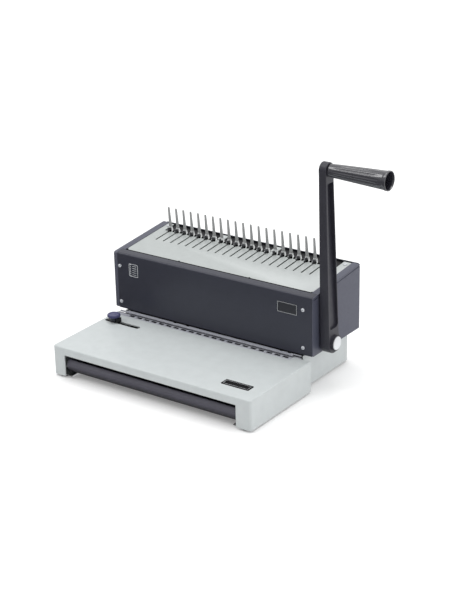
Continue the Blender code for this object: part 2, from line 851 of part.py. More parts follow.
def bushes(look, machine):
    inner = SHAFT_RADIUS + RUNNING_FIT
    for name, side in (("bush_left", -1), ("bush_right", 1)):
        profile = [
            (0.1580, inner),
            (0.1580, 0.0105),
            (0.1607, 0.0105),
            (0.1607, 0.0080),
            (0.1642, 0.0080),
            (0.1642, inner),
        ]
        placed = [(side * along, radius) for along, radius in profile]
        piece(name, turned(placed, (PIVOT_Y, PIVOT_Z), tube=True), look, machine)


def drive_shaft(look, handle):
    """Plain across the machine, with a threaded end for the lever's nut."""
    thread = 0.0035
    profile = [
        (-0.1745, 0),
        (-0.1745, 0.0042),
        (-0.1737, SHAFT_RADIUS),
        (0.1898, SHAFT_RADIUS),
        (0.1898, thread),
        (0.1992, thread),
        (0.1992, 0),
    ]
    piece("drive_shaft", turned(profile), look, handle)


def shaft_clip(look, handle):
    """The ring on the shaft's left end that keeps it from moving sideways."""
    inner = SHAFT_RADIUS + GAP
    ring = [(-0.1725, inner), (-0.1725, 0.0080), (-0.1711, 0.0080), (-0.1711, inner)]
    piece("shaft_clip", turned(ring, tube=True), look, handle)


def punch_pinions(look, handle):
    """Small gears whose front side drives the ram down. Tooth 0 points forward."""
    teeth = gear_outline(PINION_TEETH, PINION_MODULE, 0, PINION_TEETH)
    outline = [(-a, -b) for a, b in teeth]
    for name, x in zip(("punch_pinion_left", "punch_pinion_right"), PINION_PLACES):
        made = piece(name, prism(outline, "X", x - 0.0048, x + 0.0048), look, handle)
        cut(made, prism(circle((0, 0), SHAFT_RADIUS + GAP), "X", x - 0.010, x + 0.010))


def rake_sectors(look, handle):
    """Toothed sectors whose top side drives the rake forward. They reach from the top to the rear at rest."""
    teeth = gear_outline(SECTOR_TEETH, SECTOR_MODULE, -6, 2)
    turn = math.pi / 2 + DECK_SLOPE
    outline = []
    for a, b in teeth:
        outline.append((a * math.cos(turn) - b * math.sin(turn), a * math.sin(turn) + b * math.cos(turn)))
    outline += arc((0, 0), 0.0085, 140, 320, 12)
    for name, low in (("rake_sector_left", -0.1707), ("rake_sector_right", 0.1666)):
        made = piece(name, prism(outline, "X", low, low + 0.0038), look, handle)
        cut(made, prism(circle((0, 0), SHAFT_RADIUS + GAP), "X", low - 0.002, low + 0.008))


# Casing ---------------------------------------------------------------------------------------------


def deck_point(u, w):
    """A point of the deck's own plane, in y and z from the machine's origin."""
    y = CASE_FRONT + u * math.cos(DECK_SLOPE) - w * math.sin(DECK_SLOPE)
    z = CASE_TOP_FRONT + u * math.sin(DECK_SLOPE) + w * math.cos(DECK_SLOPE)
    return y, z


def front_cover(look, machine):
    """The front panel, whose top edge folds back over the deck."""
    flange = deck_point(BORDER, 0)
    under = deck_point(BORDER, -SHEET)
    inner = (CASE_FRONT + SHEET, CASE_TOP_FRONT - SHEET)
    outline = rounded(
        [
            (CASE_FRONT, CASE_BOTTOM, 0),
            (CASE_FRONT, CASE_TOP_FRONT, 0.0032),
            (*flange, 0),
            (*under, 0),
            (*inner, 0.0016),
            (CASE_FRONT + SHEET, CASE_BOTTOM, 0),
        ]
    )
    left = CASE_LEFT + SIDE_PAN_DEPTH + GAP
    right = CASE_RIGHT - SHEET - GAP
    made = piece("front_cover", prism(outline, "X", left, right), look, machine)
    cut(made, cover_screw_holes(CASE_FRONT))
    return made


def rear_cover(look, machine, deck):
    """The rear panel, with a rim round the deck and a low shelf that carries the comb plate's tabs."""
    shelf = PLATE_BOTTOM - GAP
    outline = [
        (CASE_REAR, CASE_BOTTOM),
        (CASE_REAR, CASE_TOP_REAR - 0.0010),
        (CASE_REAR - 0.0010, CASE_TOP_REAR - 0.0001),
        deck_point(RIM_FRONT, 0),
        deck_point(RIM_FRONT, shelf),
        deck_point(SHELF_FRONT, shelf),
        deck_point(SHELF_FRONT, shelf - SHEET),
        deck_point(RIM_FRONT + 0.0012, shelf - SHEET),
        (CASE_REAR - SHEET, CASE_BOTTOM),
    ]
    left = CASE_LEFT + SIDE_PAN_DEPTH + GAP
    right = CASE_RIGHT - SHEET - GAP
    made = piece("rear_cover", prism(outline, "X", left, right), look, machine)
    cut(made, cover_screw_holes(CASE_REAR))
    cut(made, plate_screw_holes(), deck)
    return made


def side_outline(inset):
    """The casing seen from the side, inset all round."""
    front = CASE_FRONT + inset
    rear = CASE_REAR - inset
    return rounded(
        [
            (front, CASE_BOTTOM + inset, 0.0020),
            (rear, CASE_BOTTOM + inset, 0.0020),
            (rear, CASE_TOP_REAR - inset, max(0.0030 - inset, 0.001)),
            (front, CASE_TOP_FRONT - inset, max(0.0034 - inset, 0.001)),
        ],
        3,
    )


def left_cover(look, machine, deck):
    """A pan that stands out past the table, with a border over the deck and a flange below."""
    back = CASE_LEFT + SIDE_PAN_DEPTH
    made = piece("left_cover", prism(side_outline(0), "X", CASE_LEFT, back), look, machine)
    cut(made, prism(side_outline(SHEET), "X", CASE_LEFT + SHEET, back + 0.002))
    border = box((back - 0.0010, BORDER + GAP, -0.00145), (SIDE_BORDER_LEFT, RIM_FRONT - GAP, -0.00005))
    join(made, border, deck)
    low = CASE_BOTTOM + 0.00005
    join(made, box((back - 0.0010, 0.1630, low), (-0.1665, 0.2880, low + 0.0014)))
    return made


def right_cover(look, machine, deck):
    """The flat panel beside the lever, with a border over the deck, a flange and the shaft's hole."""
    inside = CASE_RIGHT - SHEET
    made = piece("right_cover", prism(side_outline(0), "X", inside, CASE_RIGHT), look, machine)
    border = box((SIDE_BORDER_RIGHT, BORDER + GAP, -0.00145), (inside + 0.0010, RIM_FRONT - GAP, -0.00005))
    join(made, border, deck)
    low = CASE_BOTTOM + 0.00005
    join(made, box((0.1665, 0.1630, low), (inside + 0.0010, 0.2880, low + 0.0014)))
    cut(made, prism(circle((PIVOT_Y, PIVOT_Z), 0.0085), "X", inside - 0.002, CASE_RIGHT + 0.002))
    groove = box((CASE_RIGHT - 0.0008, -0.002, -0.0050), (CASE_RIGHT + 0.002, 0.135, -0.0036))
    cut(made, groove, deck)
    return made


def cover_screw_places():
    """The x and z of the screws in the front cover, and in the rear cover too."""
    return {
        "top_left": (-0.1750, 0.1258),
        "bottom_left": (-0.1750, 0.0665),
        "top_right": (0.1625, 0.1258),
        "bottom_right": (0.1625, 0.0665),
    }


def cover_screw_holes(y):
    holes = []
    for place in cover_screw_places().values():
        holes.append(prism(circle(place, SCREW_HOLE_RADIUS, 12), "Y", y - 0.004, y + 0.004))
    return together(holes)


def cover_screws(look, machine):
    """Pan-head screws that hold the front cover and the rear cover."""
    profile = [
        (-0.0037, 0),
        (-0.0037, SCREW_SHANK_RADIUS),
        (GAP, SCREW_SHANK_RADIUS),
        (GAP, SCREW_HEAD_RADIUS),
        (GAP + 0.0010, SCREW_HEAD_RADIUS),
        (GAP + 0.0019, SCREW_HEAD_RADIUS - 0.0010),
        (GAP + SCREW_HEAD_HEIGHT, 0),
    ]
    for side, y, tilt in (("front", CASE_FRONT, math.pi / 2), ("rear", CASE_REAR, -math.pi / 2)):
        for place, (x, z) in cover_screw_places().items():
            name = f"{side}_screw_{place}"
            axis = empty(f"{name}_axis", (x, y, z), machine, tilt)
            piece(name, turned(profile, (0, 0), "Z", 16), look, axis)


def plate_screws(look, deck):
    """Low-head screws through the comb plate's tabs and the rear cover's shelf."""
    head = PLATE_TOP + GAP
    for name, place in plate_screw_places().items():
        profile = [
            (-0.0070, 0),
            (-0.0070, SCREW_SHANK_RADIUS),
            (head, SCREW_SHANK_RADIUS),
            (head, 0.0031),
            (head + 0.0009, 0.0028),
            (head + 0.0011, 0),
        ]
        piece(name, turned(profile, place, "Z", 16), look, deck)


# Lever ----------------------------------------------------------------------------------------------


def arm_outer(z):
    """The arm gets thinner towards the grip."""
    return ARM_OUTER + (ARM_OUTER_TOP - ARM_OUTER) * z / GRIP_Z


def handle_arm(look, handle):
    """The lever's arm: a round hub, a tapering leg with a long recess in its outer side, and a round top."""
    top_radius = 0.0112
    outline = arc((0, 0), HUB_RADIUS, 165, 400, 18)
    outline += [(0.0011, 0.2465)]
    outline += arc((GRIP_Y, GRIP_Z), top_radius, 0, 180, 10)
    outline += [(-0.0205, 0.2560)]
    mesh = prism(outline, "X", ARM_INNER, ARM_OUTER)
    for corner in mesh.verts:
        if corner.co.x > ARM_INNER + 0.001:
            corner.co.x = arm_outer(corner.co.z)
    made = piece("handle_arm", mesh, look, handle)
    join(made, prism(circle((0, 0), COLLAR_RADIUS, 32), "X", ARM_INNER + 0.0040, COLLAR_END))
    recess = rounded(
        [
            (-0.0116, RECESS_LOW[0] - 0.0010, 0.0030),
            (0.0094, RECESS_LOW[0] - 0.0010, 0.0060),
            (-0.0013, RECESS_HIGH[0], 0.0020),
            (-0.0160, RECESS_HIGH[0], 0.0020),
        ]
    )
    mesh = prism(recess, "X", ARM_INNER, ARM_OUTER + 0.002)
    slope = (RECESS_HIGH[1] - RECESS_LOW[1]) / (RECESS_HIGH[0] - RECESS_LOW[0])
    for corner in mesh.verts:
        if corner.co.x < ARM_OUTER:
            corner.co.x = RECESS_LOW[1] + (corner.co.z - RECESS_LOW[0]) * slope
    cut(made, mesh)
    cut(made, prism(circle((0, 0), SHAFT_RADIUS + GAP), "X", ARM_INNER - 0.002, ARM_OUTER))
    cut(made, prism(circle((0, 0), CAP_RADIUS + GAP), "X", 0.1905, COLLAR_END + 0.002))
    cut(made, prism(circle((GRIP_Y, GRIP_Z), 0.0033, 16), "X", 0.1860, ARM_OUTER + 0.002))
    return made


def handle_hardware(looks, handle):
    """The washer behind the arm, the nut in its counterbore and the cap over it."""
    inner = SHAFT_RADIUS + GAP
    washer = [(0.1793, inner), (0.1793, 0.0110), (0.1812, 0.0110), (0.1812, inner)]
    piece("handle_washer", turned(washer, tube=True), looks["black"], handle)
    hexagon = arc((0, 0), 0.0080, 0, 300, 5)
    nut = piece("handle_nut", prism(hexagon, "X", 0.1908, 0.1962), looks["steel"], handle)
    cut(nut, prism(circle((0, 0), 0.0038), "X", 0.189, 0.198))
    cap = [
        (0.1970, 0.0088),
        (0.1970, CAP_RADIUS),
        (0.2015, CAP_RADIUS),
        (0.2021, CAP_RADIUS - 0.0006),
        (0.2024, CAP_RADIUS - 0.0018),
        (0.2026, 0),
        (0.2002, 0),
        (0.2002, 0.0088),
    ]
    piece("pivot_cap", turned(cap, steps=28, tube=True), looks["cap"], handle)


def handle_grip(looks, handle):
    """A hollow tapered grip, held on the arm by a screw through its floor."""
    floor = 0.2150
    bore = 0.0036
    outer = [(GRIP_START, 0.0096), (0.2830, 0.0136), (0.2855, 0.0143), (GRIP_END, 0.0142)]
    inner = [(GRIP_END, 0.0128), (0.2840, 0.0112), (floor, 0.0082), (floor, bore), (GRIP_START, bore)]
    mesh = turned(outer + inner, (GRIP_Y, GRIP_Z), steps=28, tube=True)
    piece("handle_grip", mesh, looks["handle"], handle)
    spindle = [
        (0.1865, 0),
        (0.1865, 0.0030),
        (floor + GAP, 0.0030),
        (floor + GAP, 0.0062),
        (floor + 0.0035, 0.0056),
        (floor + 0.0042, 0),
    ]
    piece("grip_spindle", turned(spindle, (GRIP_Y, GRIP_Z), steps=16), looks["steel"], handle)


# Assembly -------------------------------------------------------------------------------------------


def all_looks():
    return {
        "table": material("table_paint", (0.62, 0.65, 0.64), 0.45),
        "casing": material("casing_paint", (0.055, 0.055, 0.065), 0.5),
        "plate": material("plate_paint", (0.60, 0.62, 0.61), 0.42),
        "steel": material("steel", (0.55, 0.55, 0.56), 0.35, 1.0),
        "dark_steel": material("dark_steel", (0.09, 0.09, 0.10), 0.4, 1.0),
        "strip": material("strip_steel", (0.40, 0.41, 0.44), 0.4, 1.0),
        "tray": material("tray_plastic", (0.12, 0.12, 0.13), 0.5),
        "handle": material("handle_plastic", (0.06, 0.06, 0.07), 0.45),
        "knob": material("knob_plastic", (0.07, 0.065, 0.14), 0.4),
        "black": material("black_plastic", (0.02, 0.02, 0.022), 0.5),
        "cap": material("cap_plastic", (0.85, 0.86, 0.88), 0.3),
        "brass": material("bush_brass", (0.65, 0.50, 0.25), 0.4, 1.0),
        "rubber": material("foot_rubber", (0.02, 0.02, 0.02), 0.8),
    }


def main():
    clear_scene()
    looks = all_looks()
    machine = empty("machine", (MID_X, FRONT_Y, 0))
    table = empty("table_frame", (0, 0, TABLE_FRONT_TOP), machine, TABLE_SLOPE)
    deck = empty("deck_frame", (0, CASE_FRONT, CASE_TOP_FRONT), machine, DECK_SLOPE)
    punch_slide = empty("punch_slide", (0, 0, 0), machine)
    rake_slide = empty("rake_slide", (0, 0, 0), deck)
    handle = empty("handle_axis", (0, PIVOT_Y, PIVOT_Z), machine)

    base_table(looks["table"], machine, table)
    name_plate(looks["black"], table)
    base_rear(looks["table"], machine)
    base_plate(looks["steel"], machine)
    feet(looks["rubber"], machine)
    chip_tray(looks["tray"], machine)
    edge_guide(looks, machine)

    die_plate(looks["strip"], machine)
    stripper_plate(looks["strip"], machine)
    throat_fillers(looks["steel"], machine)
    punch_comb(looks["steel"], punch_slide)
    punch_racks(looks["steel"], punch_slide)

    comb_plate(looks["plate"], deck)
    comb_rake(looks["dark_steel"], rake_slide)
    rake_legs(looks["dark_steel"], rake_slide)

    frames(looks["steel"], machine)
    bushes(looks["brass"], machine)
    drive_shaft(looks["steel"], handle)
    shaft_clip(looks["dark_steel"], handle)
    punch_pinions(looks["steel"], handle)
    rake_sectors(looks["steel"], handle)

    front_cover(looks["casing"], machine)
    rear_cover(looks["casing"], machine, deck)
    left_cover(looks["casing"], machine, deck)
    right_cover(looks["casing"], machine, deck)
    cover_screws(looks["steel"], machine)
    plate_screws(looks["steel"], deck)

    handle_arm(looks["handle"], handle)
    handle_hardware(looks, handle)
    handle_grip(looks, handle)


main()
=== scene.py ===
"""The looks of an A4 comb punching and binding machine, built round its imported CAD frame.

Lengths are in metres. Each piece is drawn in one of four frames: the machine's own (its mid-plane, its front
face, the surface that it stands on), the table's sloping top, the deck's sloping top and the lever's pivot.
"""

import math

import bmesh
import bpy
from mathutils import Matrix, Vector


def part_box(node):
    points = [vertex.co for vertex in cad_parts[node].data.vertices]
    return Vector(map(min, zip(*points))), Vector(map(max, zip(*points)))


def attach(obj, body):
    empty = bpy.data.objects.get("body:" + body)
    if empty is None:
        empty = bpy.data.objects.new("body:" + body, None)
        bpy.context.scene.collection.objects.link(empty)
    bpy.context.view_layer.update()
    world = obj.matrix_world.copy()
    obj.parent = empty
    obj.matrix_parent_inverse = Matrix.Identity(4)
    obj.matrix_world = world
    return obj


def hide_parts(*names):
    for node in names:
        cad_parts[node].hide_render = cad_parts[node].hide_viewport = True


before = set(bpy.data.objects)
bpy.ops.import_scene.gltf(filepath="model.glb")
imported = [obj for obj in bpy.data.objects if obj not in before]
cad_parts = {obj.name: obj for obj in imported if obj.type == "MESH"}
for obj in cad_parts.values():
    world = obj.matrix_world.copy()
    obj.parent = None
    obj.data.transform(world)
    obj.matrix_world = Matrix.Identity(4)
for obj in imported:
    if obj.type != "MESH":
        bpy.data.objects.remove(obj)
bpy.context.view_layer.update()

# Dimensions that the CAD model shares.
PITCH = 0.0142875
HOLES = 21
FIRST_HOLE_X = -0.1547
GAP = 0.0003
SHEET = 0.0015
TABLE_DEPTH = 0.1558
TABLE_FRONT_TOP = 0.0493
TABLE_REAR_TOP = 0.0510
TABLE_WALL = 0.0020
FOOT_HEIGHT = 0.003
CASE_LEFT = -0.1866
CASE_RIGHT = 0.1790
CASE_FRONT = 0.1601
CASE_REAR = 0.2906
CASE_BOTTOM = 0.0552
CASE_TOP_FRONT = 0.1470
CASE_TOP_REAR = 0.1595
SIDE_PAN_DEPTH = 0.0064
BORDER = 0.0138
PIVOT_Y = 0.1908
PIVOT_Z = 0.0715
SHAFT_RADIUS = 0.0050
PLATE_THICKNESS = 0.0012
PLATE_TOP = -0.0008
PLATE_LEFT = -0.1747
PLATE_RIGHT = 0.1677
PLATE_FRONT = 0.0170
BEND_START = 0.1013
BEND_RADIUS = 0.0040
FINGER_TOP = 0.0390
SLOT_FRONT = 0.0657
SLOT_WIDTH = 0.0028
NOTCH_FRONT = 0.0995
NOTCH_PEAK = 0.0052
RELIEF_PLACES = (-0.0734, 0.0567)
RELIEF_RADIUS = 0.0022
ARM_INNER = 0.1815
ARM_OUTER = 0.1970
ARM_OUTER_TOP = 0.1935
RECESS_LOW = (0.0240, 0.1928)
RECESS_HIGH = (0.2440, 0.1868)
HUB_RADIUS = 0.0160
COLLAR_RADIUS = 0.0117
COLLAR_END = 0.2012
CAP_RADIUS = 0.0101
GRIP_Y = -0.0098
GRIP_Z = 0.2631
GRIP_START = 0.1953
GRIP_END = 0.2885
GRIP_FLOOR = 0.2150
SCREW_SHANK_RADIUS = 0.0016
SCREW_HOLE_RADIUS = 0.0019
SCREW_HEAD_RADIUS = 0.0028
SCREW_HEAD_HEIGHT = 0.0023
COVER_SCREWS_X = (-0.1750, 0.1625)
COVER_SCREWS_Z = (0.1258, 0.0665)
PLATE_SCREWS_U = 0.1180
TAB_START = 0.0990
TAB_END = 0.1265
GUIDE_Y = 0.1180
KNOB_X = -0.1573
THROAT_FRONT = 0.1435

TABLE_SLOPE = math.atan2(TABLE_REAR_TOP - TABLE_FRONT_TOP, TABLE_DEPTH)
DECK_SLOPE = math.atan2(CASE_TOP_REAR - CASE_TOP_FRONT, CASE_REAR - CASE_FRONT)
PLATE_BOTTOM = PLATE_TOP - PLATE_THICKNESS
HOLE_PLACES = [FIRST_HOLE_X + PITCH * i for i in range(HOLES)]
TAB_PLACES = (HOLE_PLACES[6] + PITCH / 2, HOLE_PLACES[13] + PITCH / 2)

# The frames that pieces are drawn in.
table_low, table_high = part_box("base_table")
TABLE_WIDTH = table_high.x - table_low.x
MACHINE = Matrix.Translation(((table_low.x + table_high.x) / 2, table_low.y, 0))
TABLE = MACHINE @ Matrix.Translation((0, 0, TABLE_FRONT_TOP)) @ Matrix.Rotation(TABLE_SLOPE, 4, "X")
DECK = MACHINE @ Matrix.Translation((0, CASE_FRONT, CASE_TOP_FRONT)) @ Matrix.Rotation(DECK_SLOPE, 4, "X")
LEVER = MACHINE @ Matrix.Translation((0, PIVOT_Y, PIVOT_Z))

# The camera, from the middle of the table's front edge, and its angles in degrees.
CAMERA_PLACE = (1.27384, -1.56726, 0.97317)
CAMERA_YAW = 35.877
CAMERA_PITCH = 22.016
CAMERA_ROLL = -1.2965
CAMERA_LENS = 92.74

# Brightness of the studio's surround, high and low, in front of the machine and behind it, the direction
# that counts as behind, and the brightness of the lamps and of the floor's own glow.
SKY_FRONT = 0.50
SKY_BACK = 1.00
LOW_FRONT = 0.16
LOW_BACK = 0.96
BEHIND = (0.586, 0.810, 0.0)
OVERHEAD = 1.25
KEY = 0.45
FLOOR_GLOW = 0.17


# Outlines -------------------------------------------------------------------------------------------


def arc(centre, radius, start, end, steps):
    """Points along an arc, with its angles in degrees."""
    points = []
    for i in range(steps + 1):
        angle = math.radians(start + (end - start) * i / steps)
        points.append((centre[0] + radius * math.cos(angle), centre[1] + radius * math.sin(angle)))
    return points


def unit(a, b):
    """A direction with a length of one."""
    length = math.hypot(a, b)
    return a / length, b / length


def rounded(corners, steps=8):
    """An outline from (a, b, radius) corners, each rounded by its own radius."""
    points = []
    for i, (a, b, radius) in enumerate(corners):
        if radius == 0:
            points.append((a, b))
            continue
        before = corners[i - 1]
        after = corners[(i + 1) % len(corners)]
        into = unit(before[0] - a, before[1] - b)
        out = unit(after[0] - a, after[1] - b)
        half = math.acos(into[0] * out[0] + into[1] * out[1]) / 2
        reach = radius / math.tan(half)
        middle = unit(into[0] + out[0], into[1] + out[1])
        centre = (a + middle[0] * radius / math.sin(half), b + middle[1] * radius / math.sin(half))
        first = (a + into[0] * reach, b + into[1] * reach)
        last = (a + out[0] * reach, b + out[1] * reach)
        start = math.atan2(first[1] - centre[1], first[0] - centre[0])
        turn = math.atan2(last[1] - centre[1], last[0] - centre[0]) - start
        turn = (turn + math.pi) % (2 * math.pi) - math.pi
        for k in range(steps + 1):
            angle = start + turn * k / steps
            points.append((centre[0] + radius * math.cos(angle), centre[1] + radius * math.sin(angle)))
    return points


def rectangle(low, high, radius=0.0):
    """An upright rectangle between two corners, with rounded corners where there is a radius."""
    corners = [
        (low[0], low[1], radius),
        (high[0], low[1], radius),
        (high[0], high[1], radius),
        (low[0], high[1], radius),
    ]
    return rounded(corners)


def circle(centre, radius, steps=32):
    """A closed ring of points."""
    return arc(centre, radius, 0, 360, steps)[:-1]


# Meshes ---------------------------------------------------------------------------------------------


def prism(outline, axis, low, high):
    """An outline drawn in the two axes that aren't axis, in X, Y, Z order, extruded along axis."""
    place = {
        "X": lambda a, b, c: (c, a, b),
        "Y": lambda a, b, c: (a, c, b),
        "Z": lambda a, b, c: (a, b, c),
    }[axis]
    mesh = bmesh.new()
    near = [mesh.verts.new(place(a, b, low)) for a, b in outline]
    far = [mesh.verts.new(place(a, b, high)) for a, b in outline]
    mesh.faces.new(near)
    mesh.faces.new(far)
    for i in range(len(outline)):
        j = (i + 1) % len(outline)
        mesh.faces.new((near[i], near[j], far[j], far[i]))
    bmesh.ops.recalc_face_normals(mesh, faces=mesh.faces)
    return mesh


def box(low, high):
    """A block between two corners."""
    return prism(rectangle(low[:2], high[:2]), "Z", low[2], high[2])


def lofted(rings, caps=True):
    """A surface through closed rings of points, each ring with the same number of points."""
    mesh = bmesh.new()
    loops = [[mesh.verts.new(point) for point in ring] for ring in rings]
    pairs = list(zip(loops, loops[1:]))
    if caps:
        mesh.faces.new(loops[0])
        mesh.faces.new(loops[-1])
    else:
        pairs.append((loops[-1], loops[0]))
    for first, second in pairs:
        for i in range(len(first)):
            j = (i + 1) % len(first)
            mesh.faces.new((first[i], first[j], second[j], second[i]))
    bmesh.ops.recalc_face_normals(mesh, faces=mesh.faces)
    return mesh


def round_ring(along, radius, axis="Z", centre=(0.0, 0.0), steps=48, waves=0, depth=0.0):
    """A ring of points round an axis. Waves of the given depth run round it."""
    points = []
    for i in range(steps):
        angle = 2 * math.pi * i / steps
        reach = radius - depth * (0.5 - 0.5 * math.cos(waves * angle)) ** 2
        a = centre[0] + reach * math.cos(angle)
        b = centre[1] + reach * math.sin(angle)
        points.append((along, a, b) if axis == "X" else (a, b, along))
    return points


def turned(profile, axis="Z", steps=48, caps=True):
    """A solid turned from (place along the axis, radius) points, none of them on the axis."""
    return lofted([round_ring(along, radius, axis, steps=steps) for along, radius in profile], caps)


def together(solids):
    """One mesh that holds several solids."""
    whole = bmesh.new()
    for solid in solids:
        data = bpy.data.meshes.new("piece")
        solid.to_mesh(data)
        solid.free()
        whole.from_mesh(data)
        bpy.data.meshes.remove(data)
    return whole


# Pieces ---------------------------------------------------------------------------------------------


def made(name, mesh, place):
    """A new piece from a mesh, drawn in the frame of the given place."""
    data = bpy.data.meshes.new(name)
    mesh.to_mesh(data)
    mesh.free()
    piece = bpy.data.objects.new(name, data)
    piece.matrix_world = place
    bpy.context.scene.collection.objects.link(piece)
    return piece


def settle(piece):
    """Applies every modifier of the piece."""
    bpy.context.view_layer.update()
    graph = bpy.context.evaluated_depsgraph_get()
    data = bpy.data.meshes.new_from_object(piece.evaluated_get(graph))
    old = piece.data
    piece.modifiers.clear()
    piece.data = data
    bpy.data.meshes.remove(old)


def combine(piece, mesh, operation, place=None):
    """Cuts or joins a mesh, drawn in the piece's own frame or in the given one."""
    helper = made("helper", mesh, place or piece.matrix_world)
    boolean = piece.modifiers.new(operation, "BOOLEAN")
    boolean.operation = operation
    boolean.solver = "EXACT"
    boolean.object = helper
    settle(piece)
    bpy.data.objects.remove(helper)


def cut(piece, mesh, place=None):
    combine(piece, mesh, "DIFFERENCE", place)


def join(piece, mesh):
    combine(piece, mesh, "UNION")


def clean(piece):
    """Joins doubled points and flat neighbouring faces, so that a bevel sees only real edges."""
    mesh = bmesh.new()
    mesh.from_mesh(piece.data)
    bmesh.ops.remove_doubles(mesh, verts=mesh.verts, dist=2e-6)
    bmesh.ops.dissolve_limit(
        mesh, angle_limit=math.radians(0.3), use_dissolve_boundaries=False, verts=mesh.verts, edges=mesh.edges
    )
    mesh.to_mesh(piece.data)
    mesh.free()


def bevel(piece, width, segments=2, angle=35):
    """Rounds the edges that are sharper than the angle."""
    clean(piece)
    rounding = piece.modifiers.new("edges", "BEVEL")
    rounding.width = width
    rounding.segments = segments
    rounding.limit_method = "ANGLE"
    rounding.angle_limit = math.radians(angle)
    rounding.use_clamp_overlap = True
    rounding.harden_normals = False
    settle(piece)


def shade(piece):
    """Smooth shading in which large flat faces stay flat."""
    piece.data.shade_smooth()
    piece.data.set_sharp_from_angle(angle=math.radians(32))
    weights = piece.modifiers.new("weights", "WEIGHTED_NORMAL")
    weights.mode = "FACE_AREA"
    weights.weight = 100
    weights.keep_sharp = True
    settle(piece)


def finished(piece, look, body, slot, *nodes):
    """Gives the piece its material and its body and hides the CAD nodes that it stands for; the slot is not
    used.
    """
    piece.data.materials.clear()
    piece.data.materials.append(look)
    shade(piece)
    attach(piece, body)
    if nodes:
        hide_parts(*nodes)
    return piece


def softened(node, name, look, body, slot, width):
    """A copy of a CAD node with its edges rounded."""
    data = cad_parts[node].data.copy()
    data.name = name
    piece = bpy.data.objects.new(name, data)
    bpy.context.scene.collection.objects.link(piece)
    bevel(piece, width)
    return finished(piece, look, body, slot, node)


# Materials ------------------------------------------------------------------------------------------


def new_look(name, color, roughness, metallic=0.0):
    """A plain Principled material and its shader."""
    look = bpy.data.materials.new(name)
    look.use_nodes = True
    shader = look.node_tree.nodes["Principled BSDF"]
    shader.inputs["Base Color"].default_value = (*color, 1.0)
    shader.inputs["Roughness"].default_value = roughness
    shader.inputs["Metallic"].default_value = metallic
    return look, shader


def noise(look, scale, detail=3.0, stretch=(1.0, 1.0, 1.0)):
    """A noise texture over the object's own coordinates, in waves per metre."""
    nodes = look.node_tree.nodes
    place = nodes.new("ShaderNodeTexCoord")
    mapping = nodes.new("ShaderNodeMapping")
    mapping.inputs["Scale"].default_value = stretch
    texture = nodes.new("ShaderNodeTexNoise")
    texture.inputs["Scale"].default_value = scale
    texture.inputs["Detail"].default_value = detail
    texture.inputs["Roughness"].default_value = 0.55
    look.node_tree.links.new(place.outputs["Object"], mapping.inputs["Vector"])
    look.node_tree.links.new(mapping.outputs["Vector"], texture.inputs["Vector"])
    return texture.outputs["Fac"]


def spread(look, value, low, high):
    """Maps a noise's middle range to low..high."""
    node = look.node_tree.nodes.new("ShaderNodeMapRange")
    node.inputs["From Min"].default_value = 0.3
    node.inputs["From Max"].default_value = 0.7
    node.inputs["To Min"].default_value = low
    node.inputs["To Max"].default_value = high
    look.node_tree.links.new(value, node.inputs["Value"])
    return node.outputs["Result"]


def vary_color(look, shader, value, first, second):
    """Mixes two colours by a value, and paints the surface with them."""
    mix = look.node_tree.nodes.new("ShaderNodeMix")
    mix.data_type = "RGBA"
    mix.inputs["A"].default_value = (*first, 1.0)
    mix.inputs["B"].default_value = (*second, 1.0)
    look.node_tree.links.new(value, mix.inputs["Factor"])
    look.node_tree.links.new(mix.outputs["Result"], shader.inputs["Base Color"])
    return mix


def wear_edges(look, shader, mix, color, amount):
    """Blends a worn colour in where the surface is sharply convex."""
    nodes = look.node_tree.nodes
    links = look.node_tree.links
    geometry = nodes.new("ShaderNodeNewGeometry")
    ramp = nodes.new("ShaderNodeMapRange")
    ramp.inputs["From Min"].default_value = 0.53
    ramp.inputs["From Max"].default_value = 0.62
    ramp.inputs["To Max"].default_value = amount
    links.new(geometry.outputs["Pointiness"], ramp.inputs["Value"])
    worn = nodes.new("ShaderNodeMix")
    worn.data_type = "RGBA"
    worn.inputs["B"].default_value = (*color, 1.0)
    links.new(mix.outputs["Result"], worn.inputs["A"])
    links.new(ramp.outputs["Result"], worn.inputs["Factor"])
    links.new(worn.outputs["Result"], shader.inputs["Base Color"])


def add_bump(look, shader, value, distance, strength):
    """Raises the surface's fine grain by a value."""
    bump = look.node_tree.nodes.new("ShaderNodeBump")
    bump.inputs["Distance"].default_value = distance
    bump.inputs["Strength"].default_value = strength
    look.node_tree.links.new(value, bump.inputs["Height"])
    look.node_tree.links.new(bump.outputs["Normal"], shader.inputs["Normal"])


def scaled(color, factor):
    """A lighter or darker colour of the same hue."""
    return tuple(channel * factor for channel in color)


def powder_coat(name, color, roughness, worn, specular=0.5):
    """Baked paint with a faint orange peel, a little mottling and slightly polished edges."""
    look, shader = new_look(name, color, roughness)
    shader.inputs["Specular IOR Level"].default_value = specular
    mottle = spread(look, noise(look, 60.0, 4.0), 0.0, 1.0)
    mix = vary_color(look, shader, mottle, scaled(color, 0.97), scaled(color, 1.03))
    wear_edges(look, shader, mix, worn, 0.35)
    gloss = spread(look, noise(look, 220.0), roughness - 0.05, roughness + 0.05)
    look.node_tree.links.new(gloss, shader.inputs["Roughness"])
    add_bump(look, shader, noise(look, 1100.0, 2.0), 0.00006, 0.5)
    return look


